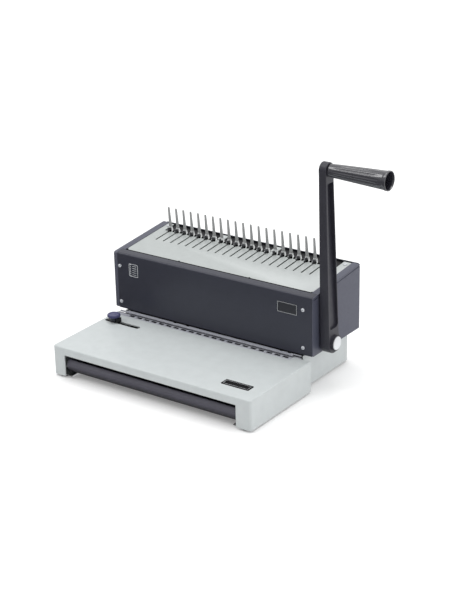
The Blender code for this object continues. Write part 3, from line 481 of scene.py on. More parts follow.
def fade(look, direction, start, end, color):
    """Turns a look's paint to another colour between two places along a direction; here it carries painted
    highlights and painted shade.
    """
    nodes = look.node_tree.nodes
    links = look.node_tree.links
    shader = nodes["Principled BSDF"]
    painted = shader.inputs["Base Color"].links[0].from_socket
    place = nodes.new("ShaderNodeTexCoord")
    along = nodes.new("ShaderNodeVectorMath")
    along.operation = "DOT_PRODUCT"
    along.inputs[1].default_value = direction
    share = nodes.new("ShaderNodeMapRange")
    share.inputs["From Min"].default_value = start
    share.inputs["From Max"].default_value = end
    mix = nodes.new("ShaderNodeMix")
    mix.data_type = "RGBA"
    mix.inputs["B"].default_value = (*color, 1.0)
    links.new(place.outputs["Object"], along.inputs[0])
    links.new(along.outputs["Value"], share.inputs["Value"])
    links.new(share.outputs["Result"], mix.inputs["Factor"])
    links.new(painted, mix.inputs["A"])
    links.new(mix.outputs["Result"], shader.inputs["Base Color"])
    return look


def comb_paint():
    """The comb plate's paint, with a painted highlight on the bend, painted shade on the fingers and a
    painted shadow on the front edge.
    """
    look = powder_coat("plate_paint", (0.435, 0.463, 0.458), 0.36, (0.76, 0.79, 0.79))
    # Painted highlight: the bend is painted near white where light would catch it.
    fade(look, (0, 0, 1), -0.0006, 0.0004, (0.95, 0.97, 0.97))
    # Painted shade: the fingers, which face the front, are painted a darker grey than the plate they are bent
    # from.
    fade(look, (0, 0, 1), 0.0052, 0.0062, (0.38, 0.385, 0.385))
    # Painted shadow: the plate's front edge is painted nearly black, for the shade in the gap in front of it.
    return fade(look, (0, -1, 0), -PLATE_FRONT - 0.00025, -PLATE_FRONT - 0.00010, (0.008, 0.008, 0.010))


def tray_plastic():
    """The tray's plastic, with painted shade that darkens it towards the floor."""
    look = moulded("tray_plastic", (0.095, 0.092, 0.118), 0.42)
    # Painted shade: the tray's front turns darker below its bulge, where shade falls.
    return fade(look, (0, 0, -1), -0.0215, -0.0115, (0.015, 0.0145, 0.020))


def knob_plastic():
    """The knob's violet plastic, with painted shade that turns its neck nearly black under the knob's head.
    """
    look = moulded("knob_plastic", (0.060, 0.060, 0.152), 0.34)
    # Painted shade: the neck under the knob's head is painted nearly black.
    return fade(look, (0, 0, -1), -0.0088, -0.0076, (0.016, 0.017, 0.030))


def strip_paint():
    """The throat plates: painted where they show, with painted shade that turns them nearly black inside the
    slots and under the casing.
    """
    look = powder_coat("strip_paint", (0.37, 0.38, 0.43), 0.40, (0.60, 0.61, 0.65))
    edge = table_low.y + CASE_FRONT
    # Painted shade: nearly black behind the casing's front edge and below the die's top, where shade falls.
    painted_throat_shade = (0.010, 0.010, 0.012)
    fade(look, (0, 1, 0), edge - 0.0014, edge - 0.0006, painted_throat_shade)
    return fade(look, (0, 0, -1), -0.0490, -0.0484, painted_throat_shade)


def rear_paint():
    """The rear cover's paint, with painted shade that turns the well behind the comb plate nearly black."""
    paint = (0.034, 0.037, 0.052)
    look = powder_coat("casing_rear_paint", paint, 0.42, (0.10, 0.10, 0.12), specular=0.15)
    down = (0, math.sin(DECK_SLOPE), -math.cos(DECK_SLOPE))
    rear = table_low.y + CASE_REAR
    deck = (table_low.y + CASE_FRONT) * down[1] + CASE_TOP_FRONT * down[2]
    # Painted shade: the cover is painted nearly black below the deck, in the well behind the fingers; the
    # next fade keeps its back face in the plain paint.
    fade(look, down, deck + 0.0003, deck + 0.0008, (0.006, 0.006, 0.008))
    return fade(look, (0, 1, 0), rear - 0.0014, rear - 0.0010, paint)


def moulded(name, color, roughness, grain=1800.0, depth=0.00004, specular=0.5):
    """Moulded plastic with a spark-eroded grain."""
    look, shader = new_look(name, color, roughness)
    shader.inputs["Specular IOR Level"].default_value = specular
    cloud = spread(look, noise(look, 35.0, 3.0), 0.0, 1.0)
    vary_color(look, shader, cloud, scaled(color, 0.93), scaled(color, 1.07))
    gloss = spread(look, noise(look, 150.0), roughness - 0.06, roughness + 0.06)
    look.node_tree.links.new(gloss, shader.inputs["Roughness"])
    add_bump(look, shader, noise(look, grain, 2.0), depth, 0.6)
    return look


def glossy(look):
    """Adds a polished skin."""
    shader = look.node_tree.nodes["Principled BSDF"]
    shader.inputs["Coat Weight"].default_value = 0.7
    shader.inputs["Coat Roughness"].default_value = 0.12
    shader.inputs["Coat IOR"].default_value = 1.7
    return look


def brushed(name, color, roughness):
    """Rolled or ground metal with fine lines along X."""
    look, shader = new_look(name, color, roughness, 1.0)
    shader.inputs["Anisotropic"].default_value = 0.4
    lines = noise(look, 1600.0, 3.0, (0.03, 1.0, 1.0))
    tone = spread(look, lines, 0.0, 1.0)
    vary_color(look, shader, tone, scaled(color, 0.88), scaled(color, 1.08))
    gloss = spread(look, noise(look, 90.0, 3.0), roughness - 0.07, roughness + 0.08)
    look.node_tree.links.new(gloss, shader.inputs["Roughness"])
    add_bump(look, shader, lines, 0.00002, 0.4)
    return look


def all_looks():
    """Every material, by the name that the pieces ask for."""
    return {
        "table": powder_coat("table_paint", (0.56, 0.595, 0.60), 0.42, (0.66, 0.69, 0.69)),
        "plate": comb_paint(),
        "casing": powder_coat("casing_paint", (0.029, 0.031, 0.048), 0.36, (0.12, 0.12, 0.15)),
        # Painted light: a lighter copy of the casing paint for the side covers, standing in for the light
        # that falls on their sides.
        "side": powder_coat("casing_paint_lit_copy", (0.068, 0.073, 0.106), 0.42, (0.12, 0.12, 0.15)),
        "rear": rear_paint(),
        "steel": brushed("plated_steel", (0.56, 0.56, 0.57), 0.34),
        "screw": moulded("screw_zinc", (0.60, 0.62, 0.66), 0.22, 2500.0, 0.00001, 1.0),
        "dark_steel": brushed("dark_steel", (0.12, 0.12, 0.13), 0.42),
        "strip": strip_paint(),
        "tray": tray_plastic(),
        "handle": moulded("handle_plastic", (0.030, 0.030, 0.041), 0.40),
        "grip": glossy(moulded("grip_plastic", (0.026, 0.026, 0.036), 0.30, 1200.0, 0.00002, 0.8)),
        "knob": knob_plastic(),
        "black": moulded("black_plastic", (0.008, 0.008, 0.010), 0.45, specular=0.25),
        "badge": moulded("badge_enamel", (0.004, 0.004, 0.005), 0.55, specular=0.12),
        "cap": moulded("cap_plastic", (0.76, 0.78, 0.80), 0.32),
        "brass": brushed("bush_brass", (0.62, 0.46, 0.20), 0.40),
        "rubber": moulded("foot_rubber", (0.018, 0.018, 0.019), 0.75, 900.0, 0.0001, 0.3),
        "print": moulded("pale_print", (0.62, 0.64, 0.66), 0.50, 3000.0, 0.00001),
        "label": moulded("label_film", (0.018, 0.019, 0.026), 0.35, 3000.0, 0.00001),
    }


# Base and table -------------------------------------------------------------------------------------


def table_top(y):
    """The height of the table's sloping top."""
    return TABLE_FRONT_TOP + (TABLE_REAR_TOP - TABLE_FRONT_TOP) * y / TABLE_DEPTH


def table_ring(inset, drop=None):
    """The table's outline, inset, at the foot of its walls or a drop below its top."""
    half = TABLE_WIDTH / 2 - inset
    front = max(0.0045 - inset, 0.0010)
    back = max(0.0030 - inset, 0.0010)
    outline = rounded(
        [
            (-half, inset, front),
            (half, inset, front),
            (half, TABLE_DEPTH - inset, back),
            (-half, TABLE_DEPTH - inset, back),
        ]
    )
    if drop is None:
        return [(x, y, FOOT_HEIGHT) for x, y in outline]
    return [(x, y, table_top(y) - drop) for x, y in outline]


def table_shell(look):
    """The folded steel table, with the tray's mouth, the throat, the guide's slot and two recesses."""
    edge = 0.0022
    rings = [table_ring(0), table_ring(0, edge)]
    for i in range(1, 9):
        angle = math.radians(90 / 8 * i)
        rings.append(table_ring(edge * (1 - math.cos(angle)), edge * (1 - math.sin(angle))))
    shell = made("table_shell", lofted(rings), MACHINE)
    below = [(x, y, z - 0.001) for x, y, z in table_ring(TABLE_WALL)]
    cut(shell, lofted([below, table_ring(TABLE_WALL, TABLE_WALL)]))
    mouth = rectangle((-0.158, 0.0), (0.154, 0.0371), 0.0010)
    rear_way = box((-0.1645, 0.150, 0.0), (0.1645, 0.160, 0.0440))
    throat = box((-0.1743, THROAT_FRONT - GAP, -0.006), (0.1483, 0.160, 0.003))
    guide_slot = rectangle((-0.1740, 0.1137), (-0.1075, 0.1223), 0.0040)
    pocket = [(0.1400, 0.1450, 0), (0.1680, 0.1450, 0.0069), (0.1680, 0.1590, 0.0069), (0.1400, 0.1590, 0)]
    badge_recess = rectangle((0.1100, 0.0255), (0.1580, 0.0415), 0.0020)
    cut(shell, prism(mouth, "Y", -0.002, 0.010))
    cut(shell, rear_way)
    cut(shell, throat, TABLE)
    cut(shell, prism(guide_slot, "Z", -0.006, 0.002), TABLE)
    cut(shell, prism(rounded(pocket), "Z", -0.0011, 0.002), TABLE)
    cut(shell, prism(badge_recess, "Z", -0.0006, 0.002), TABLE)
    bevel(shell, 0.0003, 2)
    return finished(shell, look, "machine", "table_paint", "base_table")


def badge(looks):
    """The blank inlay in the table's corner, with a thin pale frame line."""
    inlay = prism(rectangle((0.1103, 0.0258), (0.1577, 0.0412), 0.0017), "Z", -0.0003, 0.0004)
    plate = made("corner_badge", inlay, TABLE)
    bevel(plate, 0.0002, 2)
    finished(plate, looks["badge"], "machine", "black_plastic", "name_plate")
    outer = rectangle((0.1128, 0.0283), (0.1552, 0.0387), 0.0010)
    inner = rectangle((0.1132, 0.0287), (0.1548, 0.0383), 0.0007)
    line = made("corner_badge_line", band(outer, inner, 0.00035, 0.00046), TABLE)
    finished(line, looks["print"], "machine", "black_plastic")


def band(outer, inner, low, high):
    """A flat band between two outlines with the same number of points, in the X and Y plane."""
    rings = [
        [(a, b, low) for a, b in outer],
        [(a, b, high) for a, b in outer],
        [(a, b, high) for a, b in inner],
        [(a, b, low) for a, b in inner],
    ]
    return lofted(rings, caps=False)


def tray(look):
    """The chip tray: a drawer with a bulging front."""
    low = FOOT_HEIGHT + 2 * GAP + 0.0016
    top = 0.0284
    front = 0.0030
    back = 0.1980
    wall = 0.0018
    left = -0.1560
    right = 0.1520
    bulge = rounded(
        [
            (front + 0.0045, top, 0.0008),
            (front, top - 0.006, 0.0040),
            (front - 0.0006, 0.0190, 0.0120),
            (front + 0.0050, low + 0.0040, 0.0060),
            (front + 0.0160, low, 0.0060),
            (back, low, 0.0020),
            (back, top, 0),
        ]
    )
    drawer = made("tray_drawer", prism(bulge, "X", left, right), MACHINE)
    inside = rounded(
        [
            (front + 0.0045 + wall, top + 0.002, 0),
            (front + 0.0045 + wall, top - 0.001, 0.0020),
            (front + wall, top - 0.0068, 0.0030),
            (front - 0.0006 + wall, 0.0190, 0.0100),
            (front + 0.0050 + wall, low + 0.0046, 0.0045),
            (front + 0.0160, low + wall, 0.0045),
            (back - wall, low + wall, 0.0010),
            (back - wall, top + 0.002, 0),
        ]
    )
    cut(drawer, prism(inside, "X", left + wall, right - wall))
    bevel(drawer, 0.0003, 2)
    return finished(drawer, look, "tray", "tray_plastic", "chip_tray")


def guide_knob(look):
    """A knurled thumb knob with a dished top on a plain neck."""
    place = MACHINE @ Matrix.Translation((KNOB_X, GUIDE_Y, table_top(GUIDE_Y)))
    steps = 168
    waves = 28
    depth = 0.0005
    profile = [
        (0.0015, 0.0053, 0),
        (0.0017, 0.0055, 0),
        (0.0070, 0.0055, 0),
        (0.0075, 0.0059, 0),
        (0.0078, 0.0080, 0),
        (0.0082, 0.0094, depth / 2),
        (0.0087, 0.0101, depth),
        (0.0092, 0.0102, depth),
        (0.0113, 0.0102, depth),
        (0.0120, 0.0099, depth),
        (0.0125, 0.0092, depth / 2),
        (0.0127, 0.0084, 0),
        (0.0126, 0.0077, 0),
        (0.0120, 0.0071, 0),
        (0.0118, 0.0060, 0),
        (0.0119, 0.0030, 0),
        (0.0120, 0.0004, 0),
    ]
    rings = [round_ring(z, r, steps=steps, waves=waves, depth=d) for z, r, d in profile]
    knob = made("thumb_knob", lofted(rings), place)
    cut(knob, prism(circle((0, 0), 0.0023), "Z", 0.0, 0.0075))
    return finished(knob, look, "knob", "knob_plastic", "edge_guide_knob")


def foot_pads(look):
    """The four rubber feet, each where the CAD has it."""
    for name in ("foot_front_left", "foot_front_right", "foot_rear_left", "foot_rear_right"):
        low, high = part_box(name)
        place = Matrix.Translation(((low.x + high.x) / 2, (low.y + high.y) / 2, 0))
        profile = [(0.0, 0.0070), (0.0002, 0.0074), (0.0008, 0.0078), (FOOT_HEIGHT, 0.0078)]
        pad = made(name + "_pad", turned(profile), place)
        finished(pad, look, "machine", "foot_rubber", name)


# Comb opener ----------------------------------------------------------------------------------------


def comb_plate_section():
    """The bent sheet's section in u and w."""
    inner = arc((BEND_START, PLATE_TOP + BEND_RADIUS), BEND_RADIUS, -90, 0, 10)
    outer = arc((BEND_START, PLATE_TOP + BEND_RADIUS), BEND_RADIUS + PLATE_THICKNESS, 0, -90, 10)
    back = BEND_START + BEND_RADIUS + PLATE_THICKNESS
    front = BEND_START + BEND_RADIUS
    tip = [(front, FINGER_TOP), (back, FINGER_TOP)]
    return [(PLATE_FRONT, PLATE_TOP), *inner, *tip, *outer, (PLATE_FRONT, PLATE_BOTTOM)]


def finger_side(x, side):
    """One side of a finger, from below the plate to above its tip."""
    foot = 0.0048
    stem = 0.0026
    tip = 0.0016
    rise = 0.0088
    points = [(x + side * foot, -0.0050), (x + side * foot, 0.0006)]
    for i in range(1, 9):
        share = i / 8
        width = stem + (foot - stem) * (1 - share) ** 1.7
        points.append((x + side * width, 0.0006 + rise * share))
    points.append((x + side * tip, 0.0378))
    for i in range(1, 5):
        angle = math.radians(90 / 4 * i)
        points.append((x + side * (0.0007 + 0.0008 * math.cos(angle)), 0.0378 + 0.0012 * math.sin(angle)))
    points.append((x + side * 0.0007, 0.0420))
    return points


def finger_gaps():
    """What is cut away between the fingers and beyond the first and the last."""
    back = BEND_START + 0.008
    gaps = []
    for first, second in zip(HOLE_PLACES, HOLE_PLACES[1:]):
        outline = finger_side(first, 1) + finger_side(second, -1)[::-1]
        gaps.append(prism(outline, "Y", BEND_START, back))
    left = [(PLATE_LEFT - 0.002, -0.005)] + finger_side(HOLE_PLACES[0], -1) + [(PLATE_LEFT - 0.002, 0.042)]
    right = [(PLATE_RIGHT + 0.002, -0.005)] + finger_side(HOLE_PLACES[-1], 1) + [(PLATE_RIGHT + 0.002, 0.042)]
    gaps.append(prism(left, "Y", BEND_START, back))
    gaps.append(prism(right, "Y", BEND_START, back))
    return together(gaps)


def plate_cutters():
    """The hooks' slots, the notches at their rear ends and the small reliefs in the front edge."""
    half = SLOT_WIDTH / 2
    slots = []
    notches = []
    for x in HOLE_PLACES:
        notch = [(x - 0.0058, -0.0040), (x + 0.0058, -0.0040), (x, NOTCH_PEAK)]
        notches.append(prism(notch, "Y", NOTCH_FRONT, 0.108))
        outline = [
            (x - half, SLOT_FRONT, half - 0.00001),
            (x + half, SLOT_FRONT, half - 0.00001),
            (x + half, NOTCH_FRONT + 0.0005, 0),
            (x - half, NOTCH_FRONT + 0.0005, 0),
        ]
        slots.append(prism(rounded(outline, 5), "Z", -0.004, 0.002))
    reliefs = [prism(circle((x, PLATE_FRONT), RELIEF_RADIUS), "Z", -0.006, 0.002) for x in RELIEF_PLACES]
    front = PLATE_FRONT - 0.0020
    back = PLATE_FRONT + 0.0028
    for corner, side in ((PLATE_LEFT, -1), (PLATE_RIGHT, 1)):
        low = min(corner + side * 0.0020, corner - side * 0.0030)
        reliefs.append(box((low, front, -0.006), (low + 0.0050, back, 0.002)))
    return together(slots), together(notches), together(reliefs)


def comb_sheet(look):
    """The top plate with its bent-up fingers and its screw tabs."""
    sheet = made("comb_sheet", prism(comb_plate_section(), "X", PLATE_LEFT, PLATE_RIGHT), DECK)
    cut(sheet, finger_gaps())
    for cutter in plate_cutters():
        cut(sheet, cutter)
    tabs = [
        box((PLATE_LEFT, TAB_START, PLATE_BOTTOM), (-0.1640, TAB_END, PLATE_TOP)),
        box((0.1545, TAB_START, PLATE_BOTTOM), (PLATE_RIGHT, TAB_END, PLATE_TOP)),
    ]
    neck = 0.0025
    head = 0.0055
    for x in TAB_PLACES:
        outline = [
            (x - neck, TAB_START, 0),
            (x + neck, TAB_START, 0),
            (x + neck, 0.1092, 0.0008),
            (x + head, 0.1110, 0.0012),
            (x + head, TAB_END, 0.0010),
            (x - head, TAB_END, 0.0010),
            (x - head, 0.1110, 0.0012),
            (x - neck, 0.1092, 0.0008),
        ]
        tabs.append(prism(rounded(outline, 3), "Z", PLATE_BOTTOM, PLATE_TOP))
    join(sheet, together(tabs))
    places = plate_screw_places().values()
    holes = [prism(circle(place, SCREW_HOLE_RADIUS), "Z", -0.006, 0.002) for place in places]
    cut(sheet, together(holes))
    bevel(sheet, 0.00018, 2)
    return finished(sheet, look, "machine", "plate_paint", "comb_plate")


def plate_screw_places():
    """Where the comb plate's four screws sit on the deck."""
    return {
        "plate_screw_left": (-0.1693, PLATE_SCREWS_U),
        "plate_screw_mid_left": (TAB_PLACES[0], PLATE_SCREWS_U),
        "plate_screw_mid_right": (TAB_PLACES[1], PLATE_SCREWS_U),
        "plate_screw_right": (0.1611, PLATE_SCREWS_U),
    }


# Fasteners ------------------------------------------------------------------------------------------


def cross_recess(top, reach, depth):
    """The tapering cross of a Phillips screw, open upwards."""
    blades = []
    for turn in (0, math.pi / 2):
        across = Matrix.Rotation(turn, 3, "Z")
        rings = []
        for z, long, wide in ((top - depth, reach * 0.45, 0.00030), (top + 0.001, reach, 0.00048)):
            corners = [(-long, -wide, z), (long, -wide, z), (long, wide, z), (-long, wide, z)]
            rings.append([tuple(across @ Vector(corner)) for corner in corners])
        blades.append(lofted(rings))
    return blades


def screw(name, shank_end, seat, head_radius, head_height, place):
    """A Phillips pan-head screw, its axis on Z, its head's foot at seat."""
    profile = [(shank_end, SCREW_SHANK_RADIUS * 0.7), (shank_end + 0.0006, SCREW_SHANK_RADIUS)]
    profile += [(seat, SCREW_SHANK_RADIUS), (seat, head_radius - 0.0001), (seat + 0.0001, head_radius)]
    for i in range(9):
        angle = math.radians(90 / 9 * i)
        height = seat + head_height * (0.35 + 0.65 * math.sin(angle))
        profile.append((height, head_radius * (0.25 + 0.75 * math.cos(angle))))
    profile.append((seat + head_height, head_radius * 0.2))
    piece = made(name, turned(profile, steps=32), place)
    for blade in cross_recess(seat + head_height, head_radius * 0.58, head_height * 0.6):
        cut(piece, blade)
    return piece


def cover_screws(look):
    """The screws in the corners of the front and rear covers."""
    left, right = COVER_SCREWS_X
    top, bottom = COVER_SCREWS_Z
    places = {
        "top_left": (left, top),
        "bottom_left": (left, bottom),
        "top_right": (right, top),
        "bottom_right": (right, bottom),
    }
    for side, y, tilt in (("front", CASE_FRONT, math.pi / 2), ("rear", CASE_REAR, -math.pi / 2)):
        for number, (key, (x, z)) in enumerate(places.items()):
            turn = Matrix.Rotation(0.35 + 0.8 * number, 4, "Z")
            place = MACHINE @ Matrix.Translation((x, y, z)) @ Matrix.Rotation(tilt, 4, "X") @ turn
            node = f"{side}_screw_{key}"
            piece = screw(f"{side}_phillips_{key}", -0.0037, GAP, SCREW_HEAD_RADIUS, SCREW_HEAD_HEIGHT, place)
            finished(piece, look, "machine", "plated_steel", node)


def plate_screws(look):
    """The four screws that hold the comb plate."""
    for number, (node, (x, u)) in enumerate(plate_screw_places().items()):
        place = DECK @ Matrix.Translation((x, u, 0)) @ Matrix.Rotation(0.3 + number, 4, "Z")
        piece = screw(node + "_phillips", -0.0070, PLATE_TOP + GAP, 0.0031, 0.0011, place)
        finished(piece, look, "machine", "plated_steel", node)


# Casing ---------------------------------------------------------------------------------------------


def deck_point(u, w):
    """A point of the deck's own plane, in y and z from the machine's origin."""
    y = CASE_FRONT + u * math.cos(DECK_SLOPE) - w * math.sin(DECK_SLOPE)
    z = CASE_TOP_FRONT + u * math.sin(DECK_SLOPE) + w * math.cos(DECK_SLOPE)
    return y, z


def front_panel(look):
    """The front panel with its top edge folded back over the deck."""
    outline = rounded(
        [
            (CASE_FRONT, CASE_BOTTOM, 0),
            (CASE_FRONT, CASE_TOP_FRONT, 0.0032),
            (*deck_point(BORDER, 0), 0),
            (*deck_point(BORDER, -SHEET), 0),
            (CASE_FRONT + SHEET, CASE_TOP_FRONT - SHEET, 0.0016),
            (CASE_FRONT + SHEET, CASE_BOTTOM, 0),
        ],
        10,
    )
    left = CASE_LEFT + SIDE_PAN_DEPTH + GAP
    right = CASE_RIGHT - SHEET - GAP
    panel = made("front_panel", prism(outline, "X", left, right), MACHINE)
    holes = []
    for x in COVER_SCREWS_X:
        for z in COVER_SCREWS_Z:
            hole = circle((x, z), SCREW_HOLE_RADIUS)
            holes.append(prism(hole, "Y", CASE_FRONT - 0.004, CASE_FRONT + 0.004))
    cut(panel, together(holes))
    bevel(panel, 0.00035, 3)
    return finished(panel, look, "machine", "casing_paint", "front_cover")


def front_marks(looks):
    """A pale pictogram of a punched sheet, and a blank outlined label, on the front panel."""
    place = MACHINE @ Matrix.Translation((0, CASE_FRONT, 0)) @ Matrix.Rotation(math.pi / 2, 4, "X")
    base = 0.00002
    face = 0.00012
    line = 0.0007
    left, right, low, high = -0.1575, -0.1403, 0.1120, 0.1328
    outer = rectangle((left, low), (right, high), 0.0016)
    inner = rectangle((left + line, low + line), (right - line, high - line), 0.0009)
    marks = [band(outer, inner, base, face)]
    step = (high - low) / 6
    for i in range(6):
        z = low + (i + 0.5) * step
        marks.append(box((left + 0.0020, z - 0.0007, base), (left + 0.0038, z + 0.0007, face)))
    for i in range(5):
        z = low + (i + 1) * step
        marks.append(box((left + 0.0066, z - 0.0003, base), (right - 0.0030, z + 0.0003, face)))
    sign = made("sheet_pictogram", together(marks), place)
    finished(sign, looks["print"], "machine", "casing_paint")

    low, high = (0.1175, 0.1140), (0.1520, 0.1310)
    label = made("blank_label", prism(rectangle(low, high, 0.0010), "Z", base, 0.00014), place)
    finished(label, looks["label"], "machine", "casing_paint")
    outer = rectangle((low[0] + 0.0006, low[1] + 0.0006), (high[0] - 0.0006, high[1] - 0.0006), 0.0007)
    inner = rectangle((low[0] + 0.0010, low[1] + 0.0010), (high[0] - 0.0010, high[1] - 0.0010), 0.0004)
    border = made("blank_label_line", band(outer, inner, 0.0001, 0.0002), place)
    finished(border, looks["print"], "machine", "casing_paint")


# Lever ----------------------------------------------------------------------------------------------


def arm_outer(z):
    """The arm gets thinner towards the grip."""
    return ARM_OUTER + (ARM_OUTER_TOP - ARM_OUTER) * z / GRIP_Z


def lever_arm(look):
    """A round hub, a tapering leg with a recess in its outer side that deepens upwards, and a round top."""
    outline = arc((0, 0), HUB_RADIUS, 165, 400, 40)
    outline += [(0.0011, 0.2465)]
    outline += arc((GRIP_Y, GRIP_Z), 0.0112, 0, 180, 24)
    outline += [(-0.0205, 0.2560)]
    mesh = prism(outline, "X", ARM_INNER, ARM_OUTER)
    for corner in mesh.verts:
        if corner.co.x > ARM_INNER + 0.001:
            corner.co.x = arm_outer(corner.co.z)
    arm = made("lever_arm", mesh, LEVER)
    bevel(arm, 0.0013, 4, 50)
    join(arm, prism(circle((0, 0), COLLAR_RADIUS, 64), "X", ARM_INNER + 0.0040, COLLAR_END))
    recess = rounded(
        [
            (-0.0116, RECESS_LOW[0] - 0.0010, 0.0030),
            (0.0094, RECESS_LOW[0] - 0.0010, 0.0060),
            (-0.0013, RECESS_HIGH[0], 0.0020),
            (-0.0160, RECESS_HIGH[0], 0.0020),
        ]
    )
    mesh = prism(recess, "X", ARM_INNER, ARM_OUTER + 0.002)
    slope = (RECESS_HIGH[1] - RECESS_LOW[1]) / (RECESS_HIGH[0] - RECESS_LOW[0])
    for corner in mesh.verts:
        if corner.co.x < ARM_OUTER:
            corner.co.x = RECESS_LOW[1] + (corner.co.z - RECESS_LOW[0]) * slope
    cut(arm, mesh)
    cut(arm, prism(circle((0, 0), SHAFT_RADIUS + GAP, 48), "X", ARM_INNER - 0.002, ARM_OUTER))
    cut(arm, prism(circle((0, 0), CAP_RADIUS + GAP, 64), "X", 0.1905, COLLAR_END + 0.002))
    cut(arm, prism(circle((GRIP_Y, GRIP_Z), 0.0033, 32), "X", 0.1860, ARM_OUTER + 0.002))
    bevel(arm, 0.00045, 2, 45)
    return finished(arm, look, "lever", "handle_plastic", "handle_arm")


def lever_grip(look):
    """A hollow tapered grip with shallow flutes and a flared rim."""
    flutes = 14
    steps = flutes * 12
    depth = 0.0006

    def ring(along, radius, flute=0.0):
        return round_ring(along, radius, "X", (GRIP_Y, GRIP_Z), steps, flutes, flute)

    taper = (0.0136 - 0.0096) / (0.2830 - GRIP_START)
    rings = [ring(GRIP_START, 0.0090), ring(GRIP_START + 0.0003, 0.0095), ring(GRIP_START + 0.0008, 0.00965)]
    stations = 16
    first = GRIP_START + 0.0030
    last = 0.2815
    for i in range(stations + 1):
        share = i / stations
        along = first + (last - first) * share
        ease = min(1.0, 5 * share, 5 * (1 - share))
        rings.append(ring(along, 0.0096 + taper * (along - GRIP_START), depth * ease))
    rings += [ring(0.2830, 0.0136), ring(0.2846, 0.0142), ring(0.2855, 0.0143), ring(0.2880, 0.01425)]
    rings += [ring(GRIP_END - 0.0001, 0.0139), ring(GRIP_END, 0.0135), ring(GRIP_END - 0.0001, 0.0131)]
    rings += [ring(GRIP_END - 0.0006, 0.0128), ring(0.2840, 0.0112), ring(GRIP_FLOOR + 0.0008, 0.0083)]
    rings += [ring(GRIP_FLOOR + 0.0002, 0.0080), ring(GRIP_FLOOR, 0.0074), ring(GRIP_FLOOR, 0.0036)]
    rings += [ring(GRIP_START, 0.0036)]
    grip = made("lever_grip", lofted(rings, caps=False), LEVER)
    return finished(grip, look, "lever", "handle_plastic", "handle_grip")


def lever_cap(look):
    """The pale cap in the hub's collar, over the lever's nut, with a shallow ring pressed in its face."""
    radius = CAP_RADIUS
    profile = [
        (0.1970, 0.0088),
        (0.1970, radius - 0.0002),
        (0.1972, radius),
        (0.2014, radius),
        (0.2018, radius - 0.0001),
        (0.2021, radius - 0.0004),
        (0.2023, radius - 0.0009),
        (0.2024, radius - 0.0018),
        (0.2022, radius - 0.0021),
        (0.2022, radius - 0.0025),
        (0.2024, radius - 0.0028),
        (0.2025, 0.0040),
        (0.2026, 0.0006),
        (0.2002, 0.0006),
        (0.2002, 0.0088),
    ]
    cap = made("lever_cap", turned(profile, "X", steps=64, caps=False), LEVER)
    filler = turned([(0.2002, 0.0008), (0.2026, 0.0008)], "X", steps=64)
    join(cap, filler)
    return finished(cap, look, "lever", "cap_plastic", "pivot_cap")


# Camera, light and floor ----------------------------------------------------------------------------


def camera():
    """A long lens that looks down on the machine from the front right."""
    yaw = math.radians(CAMERA_YAW)
    pitch = math.radians(CAMERA_PITCH)
    roll = math.radians(CAMERA_ROLL)
    right = Vector((math.cos(yaw), math.sin(yaw), 0))
    ahead = Vector((-math.sin(yaw) * math.cos(pitch), math.cos(yaw) * math.cos(pitch), -math.sin(pitch)))
    up = right.cross(ahead)
    across = right * math.cos(roll) + up * math.sin(roll)
    above = up * math.cos(roll) - right * math.sin(roll)
    data = bpy.data.cameras.new("camera")
    data.lens = CAMERA_LENS
    data.sensor_width = 36.0
    data.clip_start = 0.05
    data.clip_end = 60.0
    shot = bpy.data.objects.new("camera", data)
    bpy.context.scene.collection.objects.link(shot)
    turn = Matrix((across, above, -ahead)).transposed().to_4x4()
    shot.matrix_world = Matrix.Translation(MACHINE.translation + Vector(CAMERA_PLACE)) @ turn
    bpy.context.scene.camera = shot


def sun(name, direction, energy, angle):
    """A soft sun that shines from the direction."""
    data = bpy.data.lights.new(name, "SUN")
    data.energy = energy
    data.angle = math.radians(angle)
    lamp = bpy.data.objects.new(name, data)
    lamp.rotation_mode = "QUATERNION"
    lamp.rotation_quaternion = Vector(direction).to_track_quat("Z", "Y")
    bpy.context.scene.collection.objects.link(lamp)


def eased(tree, value, start, end, low=0.0, high=1.0):
    """A value turned into a smooth rise from low to high."""
    node = tree.nodes.new("ShaderNodeMapRange")
    node.interpolation_type = "SMOOTHSTEP"
    node.inputs["From Min"].default_value = start
    node.inputs["From Max"].default_value = end
    node.inputs["To Min"].default_value = low
    node.inputs["To Max"].default_value = high
    tree.links.new(value, node.inputs["Value"])
    return node.outputs["Result"]


